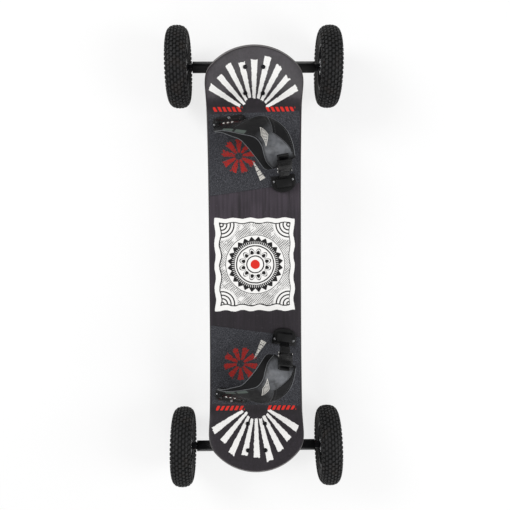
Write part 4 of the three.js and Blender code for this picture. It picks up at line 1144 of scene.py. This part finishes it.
def make_truck(end):
    """A truck: the softened castings and blocks, the kingpin, the bolts, the axle's rod and nuts, and the two
    bolts that clamp the rod in its beam."""
    origin, out, square = truck_axes(end)
    board = "board"
    axle = f"axle_{end}"
    for casting, width in (("baseplate", 1.0), ("hanger", 1.0), ("axle_beam", 0.6)):
        softened(f"{casting}_{end}", black_coat, width)
    under_plate, over_wing = [(origin - drop * square) * MM for drop in (Truck.plate_drop, Truck.wing_drop)]
    for side in SIDES:
        bend = (board, axle, under_plate, over_wing)
        softened(f"shock_block_{end}_{side}", urethane, 1.4, bend)
    pin = origin - Truck.kingpin_drop * square
    reach, shank, wide = Truck.kingpin_reach, Truck.kingpin_radius, Truck.head_radius
    kingpin = Shell()
    kingpin.turn([[reach, 5], [reach, wide], [reach + 3, wide], [reach + 6.8, 7.4], [reach + 8.7, 3.6],
                  [reach + 8.8, 1]], 2.0, pin, out, 48, steps=6)
    kingpin.tube(turned([[-reach - 8.5, 4.2], [-reach - 8, shank], [reach + 1, shank]], pin, out, 32))
    kingpin.tube(hexagon(pin - out * reach, -out, wide, 7))
    stand_in(f"kingpin_{end}", kingpin, [black_steel], board)
    seat = Deck.thickness + 0.3
    for row, along in (("inner", -1), ("outer", 1)):
        for side, lateral in SIDES.items():
            place = origin + out * along * Truck.bolt_pitch / 2 + [lateral * Truck.bolt_spread / 2, 0, 0]
            bolt = Shell()
            bolt.turn([[-5, 2.9], [seat, 2.9], [seat, 5.2], [seat + 1.2, 5.1], [seat + 2.6, 3.4],
                       [seat + 2.7, 2.1], [seat + 1.0, 1.9]], 0.6, place, square, 32)
            bolt.tube(hexagon(place - square * Truck.bolt_nut_drop, -square, 5.6, 5))
            stand_in(f"truck_bolt_{end}_{row}_{side}", bolt, [black_steel], board)
    centre = joint_at(f"spin_{end}_right") * (0, 1, 1)
    reach, thick = Truck.rod_end, Truck.rod_radius
    rod = Shell()
    rod.turn([[-reach, 4.2], [1 - reach, thick], [reach - 1, thick], [reach, 4.2]], 0.5, centre, (1, 0, 0))
    nuts = {side: Shell() for side in SIDES}
    for side, facing in SIDES.items():
        axis = np.array([facing, 0, 0])
        near = centre + Truck.lock_nut * axis
        rod.tube(hexagon(near, axis, Truck.nut_radius, 10.4))
        rod.turn([[10.9, 6.2], [10.9, 8.9], [13.2, 8.9], [13.2, 6.2]], 0.3, near, axis)
        start = centre + Truck.axle_nut * axis
        nuts[side].tube(hexagon(start, axis, Truck.nut_radius, 4.6))
        nuts[side].turn([[4.0, 7.6], [5.0, 7.4], [5.6, 6.4]], 0.4, start, axis)
    stand_in(f"axle_rod_{end}", rod, [black_steel], axle)
    for side, nut in nuts.items():
        stand_in(f"axle_nut_{end}_{side}", nut, [plated_steel], axle)
    clamp = Shell()
    for x in (-Truck.clamp_bolt, Truck.clamp_bolt):
        place = centre + [ENDS[end] * x, 0, 0] - square * 0.5
        clamp.turn([[9, 4.4], [13.6, 4.4], [14.6, 3.4], [14.6, 2.2], [12.8, 2.0]], 0.4, place, -square, 28)
    piece_of(f"clamp_bolts_{end}", clamp, [plated_steel], axle, (), 35)


# The bindings

class Binding:
    """Driving sizes of a binding, as in its solids, in its own frame: x from heel to toe, y towards the near
    tip, z up from the deck."""

    hinge = np.array([-48.0, 78.0, 16.0])
    span = 176
    seat = 140
    ladder = 150
    ladder_place = 58
    ratchet_angle = 30
    barrel_half = 23
    flange_root = 3
    flange_reach = 29.7
    flange_angle = 65
    flange_screws = (-62, -52, -42)
    frame_foot = -4.6  # heights over the ladder's middle
    frame_floor = -2.9
    pin_height = 7.2
    pins = {"ratchet_lever": 1.0, "release_lever": 12.0}  # places along the ladder
    rivets = (-9, 3)
    wall = 15.4  # half the way across the frame's walls
    saddle_half = 13
    ridges = -18.5 - 2.6 * np.arange(5)
    ridge_half = 12.5
    outer_top = 5.6
    inner_top = 6.6
    inner_place = -76
    inner_screws = 22.3  # to both sides of the ladder


def binding_frame(end):
    """The binding's directions, from the axis of the strap's hinge, and what puts its own points in place."""
    sign = ENDS[end]
    hinge = f"strap_open_{end}"
    x = -sign * np.array(joints[hinge]["axis"])
    x /= np.linalg.norm(x)
    z = np.array([0, -x[2], x[1]]) * sign
    z /= np.linalg.norm(z)
    axes = np.stack([x, sign * np.cross(z, x), z])
    origin = joint_at(hinge) - Binding.hinge @ axes
    return axes, lambda points: origin + points @ axes


def about_hinge(radius, degrees):
    """Place and height at a radius and an angle about the strap's hinge."""
    turn = np.radians(degrees)
    return Binding.hinge[1] - radius * np.cos(turn), Binding.hinge[2] + radius * np.sin(turn)


ankle_shares = [[-0.99, 0.198, 37.9], [-0.72, 0.421, 58.0], [-0.34, 0.678, 58.3], [0.02, 0.799, 54.2],
                [0.14, 0.896, 47.8], [0.17, 0.97, 40.7], [0.22, 0.99, 32.4], [0.4, 1, 20]]
toe_shares = [[-0.94, 0.14, 44.3], [-0.6, 0.219, 66.0], [-0.3, 0.2, 67.1], [0.04, 0.108, 78.1],
              [0.32, 0.09, 86.5], [0.62, 0.281, 61.6], [0.86, 0.575, 51.7], [0.95, 0.78, 44.4], [0.98, 1, 33]]
lining_shares = [[-0.99, 0.2, 36.5], [-0.79, 0.39, 53.9], [-0.57, 0.606, 55.6], [-0.36, 0.769, 54.8],
                 [-0.25, 0.856, 50.9], [-0.145, 0.937, 46.4], [-0.03, 1, 40.1], [0.07, 1.03, 33.0],
                 [0.16, 1.03, 26.0], [0.25, 1, 21]]


def smooth_curve(points, count):
    """Evenly spaced points of a centripetal Catmull-Rom curve: each span blends its four nearest points by
    the square roots of their distances."""
    points = np.asarray(points, float)
    ends = (2 * points[0] - points[1], 2 * points[-1] - points[-2])
    row = np.vstack([ends[0], points, ends[1]])
    dense = []
    for four in zip(row, row[1:], row[2:], row[3:]):
        t = np.cumsum([0, *[math.sqrt(np.linalg.norm(q - p)) for p, q in zip(four, four[1:])]])
        u = np.linspace(t[1], t[2], 40)[:, None]

        def blend(first, second, low, high):
            return (t[high] - u) / (t[high] - t[low]) * first + (u - t[low]) / (t[high] - t[low]) * second

        pairs = [blend(four[k], four[k + 1], k, k + 1) for k in range(3)]
        triples = [blend(pairs[k], pairs[k + 1], k, k + 2) for k in range(2)]
        dense.append(blend(*triples, 1, 2))
    dense = np.vstack(dense)
    length = np.concatenate([[0], np.cumsum(np.linalg.norm(np.diff(dense, axis=0), axis=1))])
    keep = np.concatenate([[True], np.diff(length) > 0])
    even = np.linspace(0, length[-1], count)
    return np.stack([np.interp(even, length[keep], dense[keep, k]) for k in range(3)], -1)


class Pad:
    """The pad's middle surface between its ankle and toe guides, in the binding's own frame, and the lining
    that reaches out from under its ankle edge. Places on it are shares along and across the strap."""

    rows = 110
    length = 230  # about, along the strap
    width = 88  # about, across its widest part
    thick = 11
    edge = 4
    lining = 3
    lap = 0.2
    groove = 1.1
    groove_half = 1.3
    lines = np.array([[[0.48, 1.0], [0.66, 0.55]], [[0.66, 0.55], [0.92, 0.89]], [[0.27, 0.3], [0.36, 1.0]]])

    def __init__(self):
        def guide(shares):
            points = [(x * Binding.span / 2, *about_hinge(r * Binding.seat, a)) for x, r, a in shares]
            return smooth_curve(points, self.rows)

        self.ankle = guide(ankle_shares)
        self.toe = guide(toe_shares)
        self.lip = guide(lining_shares)
        along = np.gradient(self.ankle + self.toe, axis=0)
        normal = np.cross(self.toe - self.ankle, along)
        normal *= np.where(normal[:, 2:] < 0, -1, 1)
        self.normal = normal / np.linalg.norm(normal, axis=1)[:, None]

    def at(self, line, share):
        """The point of a guide at a share along it."""
        place = np.asarray(share) * (self.rows - 1)
        low = np.clip(np.floor(place).astype(int), 0, self.rows - 2)
        part = (place - low)[..., None]
        return line[low] * (1 - part) + line[low + 1] * part

    def half(self, share, across):
        """Half the thickness: thin at the edges and full in the middle, rounded off at all its borders and
        drawn in at the seams."""
        full = (self.edge + (self.thick - self.edge) * np.sin(math.pi * across) ** 0.6) / 2
        rim = np.clip(np.minimum(across, 1 - across) / 0.03, 0, 1)
        end = np.clip(np.minimum(share, 1 - share) / 0.015, 0, 1)
        rounding = np.sqrt(1 - (1 - rim) ** 2) * np.sqrt(1 - (1 - end) ** 2)
        groove = 0
        for start, stop in self.lines * (self.length, self.width):
            long = np.linalg.norm(stop - start)
            run = (stop - start) / long
            x, y = share * self.length - start[0], across * self.width - start[1]
            past = x * run[0] + y * run[1]
            inside = (past > -1) & (past < long + 1)
            beside = (y * run[0] - x * run[1]) / self.groove_half
            groove = np.maximum(groove, inside * np.exp(-beside ** 2))
        return (full - self.groove * groove) * rounding

    def point(self, share, across, height):
        """The point at a share along, a share across and a height over the middle surface."""
        share, across, height = np.broadcast_arrays(share, across, height)
        ankle, toe, normal = (self.at(line, share) for line in (self.ankle, self.toe, self.normal))
        return ankle * (1 - across[..., None]) + toe * across[..., None] + normal * height[..., None]

    def top(self, share, across, lift=0.0):
        """The point on the cushion's top, or a lift over it."""
        share, across = np.broadcast_arrays(share, across)
        return self.point(share, across, self.half(share, across) + lift)


def denser_ends(count, part):
    """Shares from 0 to 1, an even row and a part of a row that is denser at both ends."""
    even = np.linspace(0, 1, count)
    return (1 - part) * even + part * (1 - np.cos(math.pi * even)) / 2


def pad_cushion(pad):
    """Rings of the cushion, with the shares along and across at each point, -1 for across underneath."""
    share, across = np.meshgrid(denser_ends(pad.rows, 0.15), denser_ends(71, 0.4), indexing="ij")
    half = pad.half(share, across)
    top = pad.point(share, across, half)
    bottom = pad.point(share, across, -half)
    under = np.full_like(across[:, 1:-1], -1)
    along = np.concatenate([share, share[:, 1:-1]], 1)
    places = np.stack([along, np.concatenate([across, under], 1)], -1)
    return np.concatenate([top, bottom[:, -2:0:-1]], 1), places


def pad_lining(pad):
    """Rings of the lining: a thin quilted sheet from its free edge past the ankle edge to its lap under the
    cushion, gently rippled along the strap."""
    share = np.linspace(0.01, 0.985, 90)
    lip, ankle, toe, normal = (pad.at(line, share) for line in (pad.lip, pad.ankle, pad.toe, pad.normal))
    lap = (toe - ankle) * pad.lap
    steps = np.concatenate([np.linspace(0, 1, 13), 1 + np.linspace(0, 1, 5)[1:]])
    outer, inner = np.clip(steps, 0, 1), np.clip(steps - 1, 0, 1)
    line = lip[:, None] + (ankle - lip)[:, None] * outer[:, None] + lap[:, None] * inner[:, None]
    from_lip = outer * np.linalg.norm(ankle - lip, axis=1)[:, None]
    rim = np.sqrt(1 - (1 - np.clip(from_lip / 1.4, 0, 1)) ** 2)
    quilt = 0.35 * np.abs(np.sin(math.pi * from_lip / 7)) * np.clip(from_lip / 3, 0, 1)
    upper = (pad.lining / 2 - 0.2) * rim + quilt
    lower = -(pad.lining / 2) * rim
    top, bottom = (line + normal[:, None] * height[..., None] for height in (upper, lower))
    return np.concatenate([top, bottom[:, -2:0:-1]], 1)


def pad_flange():
    """Rings of the flange from the barrel up into the pad: a slab with rounded edges, widening to the pad."""
    turn = round_trip(28)
    share = np.linspace(0, 1, 12)[:, None]
    radius = Binding.flange_root + (Binding.flange_reach - Binding.flange_root) * share
    width = Binding.barrel_half - 1 + 9 * share ** 2
    thick = 2.1 + 0.5 * np.sin(math.pi * share)
    across = np.sign(np.cos(turn)) * np.abs(np.cos(turn)) ** 0.35 * width
    deep = np.sign(np.sin(turn)) * np.abs(np.sin(turn)) ** 0.7 * thick
    angle = math.radians(Binding.flange_angle)
    y, z = about_hinge(radius, Binding.flange_angle)
    return np.stack([Binding.hinge[0] + across, y + deep * math.sin(angle), z + deep * math.cos(angle)], -1)


def make_pad(end, axes, world):
    """The padded strap with its lining, piping, stitches, flange and hinge barrel."""
    pad = Pad()
    cushion_look, trim, inside, sewn, hard, metal = range(6)
    rings, places = pad_cushion(pad)
    shell = Shell(2)
    shell.tube(world(rings), cushion_look, places)
    shell.tube(world(pad_lining(pad)), inside)
    long = np.linspace(0.02, 0.98, 120)
    lip = pad.at(pad.lip, long) + pad.at(pad.normal, long) * 0.6
    sunk = -0.4
    ankle_edge, toe_edge = pad.top(long, 0.012, sunk), pad.top(long, 0.988, sunk)
    for path, radius in ((lip, 0.75), (ankle_edge, 1.0), (toe_edge, 1.0)):
        shell.cord(world(path), radius, trim)
    for start, stop in pad.lines:
        places = start + (stop - start) * np.linspace(0.02, 0.98, 40)[:, None]
        shell.cord(world(pad.top(*places.T, 0.1)), 0.6, trim, 8)
    beside = np.array([0.03, 0.045])
    rows = [*(pad.lines + beside), *(pad.lines - beside)]
    rows += [np.array([[0.1, 0.93], [0.95, 0.93]]), np.array([[0.12, 0.07], [0.95, 0.07]])]
    stitch_pitch = 4
    for first, last in rows:
        count = int(np.linalg.norm((last - first) * (pad.length, pad.width)) / stitch_pitch)
        for n in range(count):
            share = (n + 0.5 + np.linspace(-0.3, 0.3, 4)[:, None]) / count
            places = np.clip(first + (last - first) * share, 0.02, 0.98)
            shell.cord(world(pad.top(*places.T, 0.08)), [0.15, 0.3, 0.3, 0.15], sewn, 5)
    half = Binding.barrel_half
    shell.turn([[-half, 3.3], [-half, 6], [half, 6], [half, 3.3], [-half, 3.3]], 0.8, world(Binding.hinge),
               axes[0], 40, hard)
    shell.tube(world(pad_flange()), hard)
    rise = math.radians(Binding.flange_angle)
    outward = np.array([0, math.sin(rise), math.cos(rise)]) @ axes
    for x in Binding.flange_screws:
        place = world(np.array([x, *about_hinge(Binding.flange_reach * 0.62, Binding.flange_angle)]))
        head = [[1.5, 3.1], [3.3, 3.1], [4.1, 2.2], [4.1, 1.3], [3.2, 1.2]]
        shell.turn(head, 0.5, place, outward, 24, metal)
    looks = [cover, piping, lining, thread, moulded, bright_steel]
    piece = stand_in(f"pad_{end}", shell, looks, f"strap_{end}", 40, ["along", "across"])


cover = pad_finish()


def on_ratchet(x, height, along):
    """A place on the ratchet: across the ladder, above the ladder's middle and along it to the inner
    mount."""
    x, height, along = np.broadcast_arrays(x, height, along)
    turn = math.radians(Binding.ratchet_angle)
    y, z = about_hinge(Binding.ladder, Binding.ratchet_angle)
    y = y - height * math.cos(turn) - along * math.sin(turn)
    return np.stack([x, y, z + height * math.sin(turn) - along * math.cos(turn)], -1)


def ratchet_saddle():
    """Rings of the block that carries the ratchet on the pad: flat under the frame, slanted along the pad's
    end, and below it 1.2 mm inside the pad's top, taken from the nearest of many places on the pad."""
    share, across = np.meshgrid(np.linspace(0.75, 1, 70), np.linspace(0.02, 0.98, 60))
    middle, up, onward = on_ratchet(0, [0, 1, 0], [0, 0, 1])
    spread = Pad().top(share, across).reshape(-1, 3) - middle
    height, along = spread @ (up - middle), spread @ (onward - middle)
    from_middle = np.linspace(-Binding.saddle_half, Binding.saddle_half, 14)
    x = Binding.ladder_place + from_middle
    far_end, near_end = -15, np.minimum(14, 8.7 - 0.62 * from_middle)
    place = far_end + (near_end - far_end) * np.linspace(0, 1, 12)[:, None]
    apart = (x[:, None] - spread[:, 0]) ** 2 + (place[..., None] - along) ** 2
    foot = height[apart.argmin(-1)] - 1.2
    return np.concatenate([on_ratchet(x, Binding.frame_foot, place), on_ratchet(x, foot, place)[:, ::-1]], 1)


def make_ratchet_details(end, axes, world):
    """The saddle with two rivets that hold the frame on the pad, ridges across the lever's handle, and the
    round heads of both pins on the frame's walls."""
    middle = Binding.ladder_place
    up = (on_ratchet(0, 1, 0) - on_ratchet(0, 0, 0)) @ axes
    saddle = Shell()
    saddle.tube(world(ratchet_saddle()))
    for along in Binding.rivets:
        place = world(on_ratchet(middle, Binding.frame_floor, along))
        saddle.turn([[-0.5, 2.8], [0.4, 2.8], [0.4, 0.1]], 0.3, place, up, 24, 1)
    piece_of(f"ratchet_saddle_{end}", saddle, [moulded, bright_steel], f"strap_{end}")
    for lever, along in Binding.pins.items():
        heads = Shell()
        for side in (-1, 1):
            place = world(on_ratchet(middle + side * Binding.wall, Binding.pin_height, along))
            heads.turn([[-0.3, 2.6], [0.4, 2.6], [1.0, 1.9], [1.1, 0.4]], 0.4, place, side * axes[0], 24)
        piece_of(f"{lever}_pin_{end}", heads, [bright_steel], f"{lever}_{end}", (), 40)
    ridges = Shell()
    across = middle + Binding.ridge_half * np.linspace(-1, 1, 9)
    for along in Binding.ridges:
        on_handle = 15.6 + 1.6 * (along + 17) / 14.8
        ridges.cord(world(on_ratchet(across, on_handle, along)), [0.3, 0.85, *[0.9] * 5, 0.85, 0.3])
    piece_of(f"lever_ridges_{end}", ridges, [moulded], f"ratchet_lever_{end}", (), 50)


def make_binding(end):
    """A binding: the pad, the softened mounts, strap, frame and levers, and the details on them."""
    axes, world = binding_frame(end)
    make_pad(end, axes, world)
    softer = {"outer_mount": 0.9, "inner_mount": 0.9, "ladder_strap": 0.25, "ratchet_frame": 0.5,
              "ratchet_lever": 0.6, "release_lever": 0.4}
    for part, width in softer.items():
        softened(f"{part}_{end}", moulded, width)
    make_ratchet_details(end, axes, world)
    outer, inner = Binding.outer_top, Binding.inner_top
    near, far = [Binding.ladder_place + side * Binding.inner_screws for side in (-1, 1)]
    screws = Shell()
    for x, y, z, radius in ((-84.6, 78, outer, 2.7), (-11.4, 78, outer, 2.7), (-48, 66, outer, 3.4),
                            (-48, 90, outer, 3.4), (near, Binding.inner_place, inner, 3.2),
                            (far, Binding.inner_place, inner, 3.2)):
        screws.turn([[-1, radius], [0.4, radius], [1.5, radius - 1], [1.5, radius - 2], [0.5, radius - 2.1]],
                    0.4, world(np.array([x, y, z])), axes[2], 24)
    piece_of(f"mount_screws_{end}", screws, [plated_steel], "board", (), 40)


# The camera, the floor and the lights

def make_camera():
    """A camera over the board, as the photograph's: it looks almost straight down from 1.5 m over the axles,
    turned by the small angles that were fitted to the wheels, the bolts and the outline."""
    data = bpy.data.cameras.new("camera")
    camera = in_scene("camera", data)
    bpy.context.scene.camera = camera
    image_side = 510
    focal_pixels = 608
    data.sensor_width = 36
    data.lens = focal_pixels / image_side * data.sensor_width
    distance = 1.517
    axle_height = 0.098
    off_middle = Vector((0.00048, -0.0059, axle_height))
    turn = Matrix.Identity(4)
    for angle, axis in ((0.0077, "Z"), (0.0162, "Y"), (0.0654, "X")):
        turn = turn @ Matrix.Rotation(angle, 4, axis)
    back = turn.to_3x3().transposed()
    place = off_middle + back @ Vector((0, 0, distance))
    shifted_pixels = 6.7
    nod = Matrix.Rotation(shifted_pixels / focal_pixels, 4, "X")
    camera.matrix_world = Matrix.Translation(place) @ back.to_4x4() @ nod


def make_floor():
    """A pale floor far wider than the picture, and clear from below, so that the underside can be looked at.
    It is a disc of rings, brighter to the camera than it lights."""
    radii = np.array([20, 200, 800, 2400, 9000.0])
    turn = round_trip(96)
    level = -0.2
    rings = radii[:, None, None] * np.stack([np.cos(turn), np.sin(turn), 0 * turn], -1)
    points = np.vstack([rings.reshape(-1, 3), [[0, 0, 0]]]) + [0, 0, level]
    here = np.arange(len(turn))
    fan = np.stack([here, (here + 1) % len(turn), np.full(len(turn), len(points) - 1)], -1)
    faces = quads(len(radii), len(turn), wrap_columns=True)[:, ::-1].tolist() + fan.tolist()
    mesh = mesh_of("floor", points * MM, faces)
    floor = in_scene("floor", mesh)
    finish = Finish("pale_floor", 0xF6F6F6, roughness=0.9, specular_ior_level=0.1)
    finish.lay(finish.noise(300, 2).over(0.5, 0.8), 0xFAFAFA)
    lit = Field(finish, finish.shader.outputs[0])
    glow = finish.node("Emission", {"Color": (1, 1, 1, 1)})
    clear = finish.node("BsdfTransparent")
    seen = finish.node("LightPath", output="Is Camera Ray")
    below = finish.node("NewGeometry", output="Backfacing")
    lifted = finish.node("MixShader", {0: seen * 0.72, 1: lit, 2: glow})
    one_sided = finish.node("MixShader", {0: below, 1: lifted, 2: clear})
    output = next(node for node in finish.tree.nodes if node.type == "OUTPUT_MATERIAL")
    finish.feed(output.inputs["Surface"], one_sided)
    mesh.materials.append(finish.material)


def make_lamp(name, place, size, power):
    """A soft box that faces the board's middle. Places and sizes are in metres."""
    data = bpy.data.lights.new(name, "AREA")
    data.shape = "RECTANGLE"
    data.size, data.size_y = size
    data.energy = power
    toward = Vector((0, 0, 0.1)) - Vector(place)
    turn = toward.to_track_quat("-Z", "Y").to_matrix().to_4x4()
    in_scene(name, data).matrix_world = Matrix.Translation(place) @ turn


def make_lights():
    """Soft boxes to both sides and past the tail, so that the level deck mirrors only the dim sky, and a pale
    sky all round, which the camera sees brighter than it lights."""
    make_lamp("left_box", (-2.4, 1.5, 2.2), (1.6, 1.6), 72)
    make_lamp("right_box", (2.6, -0.4, 2.1), (1.6, 2.0), 58)
    make_lamp("tail_box", (0.3, -3.0, 2.2), (1.8, 1.2), 26)
    world = bpy.data.worlds.new("sky")
    bpy.context.scene.world = world
    world.use_nodes = True
    sky = Nodes(world.node_tree)
    shader = sky.tree.nodes["Background"]
    shader.inputs["Color"].default_value = (1, 1, 1, 1)
    seen = sky.node("LightPath", output="Is Camera Ray")
    dim, more_seen = 0.4, 0.58
    sky.feed(shader.inputs["Strength"], seen.math("MULTIPLY_ADD", more_seen, dim))
    bpy.context.scene.view_settings.view_transform = "Standard"


make_camera()
make_deck()
for name in ("grip_front", "grip_rear"):
    node = frame["nodes"][name]
    node.data.materials.clear()
    node.data.materials.append(grit)
hub_half = hub_mesh()
for end in ENDS:
    make_truck(end)
    make_binding(end)
    for side in SIDES:
        make_wheel(end, side, hub_half)
make_floor()
make_lights()
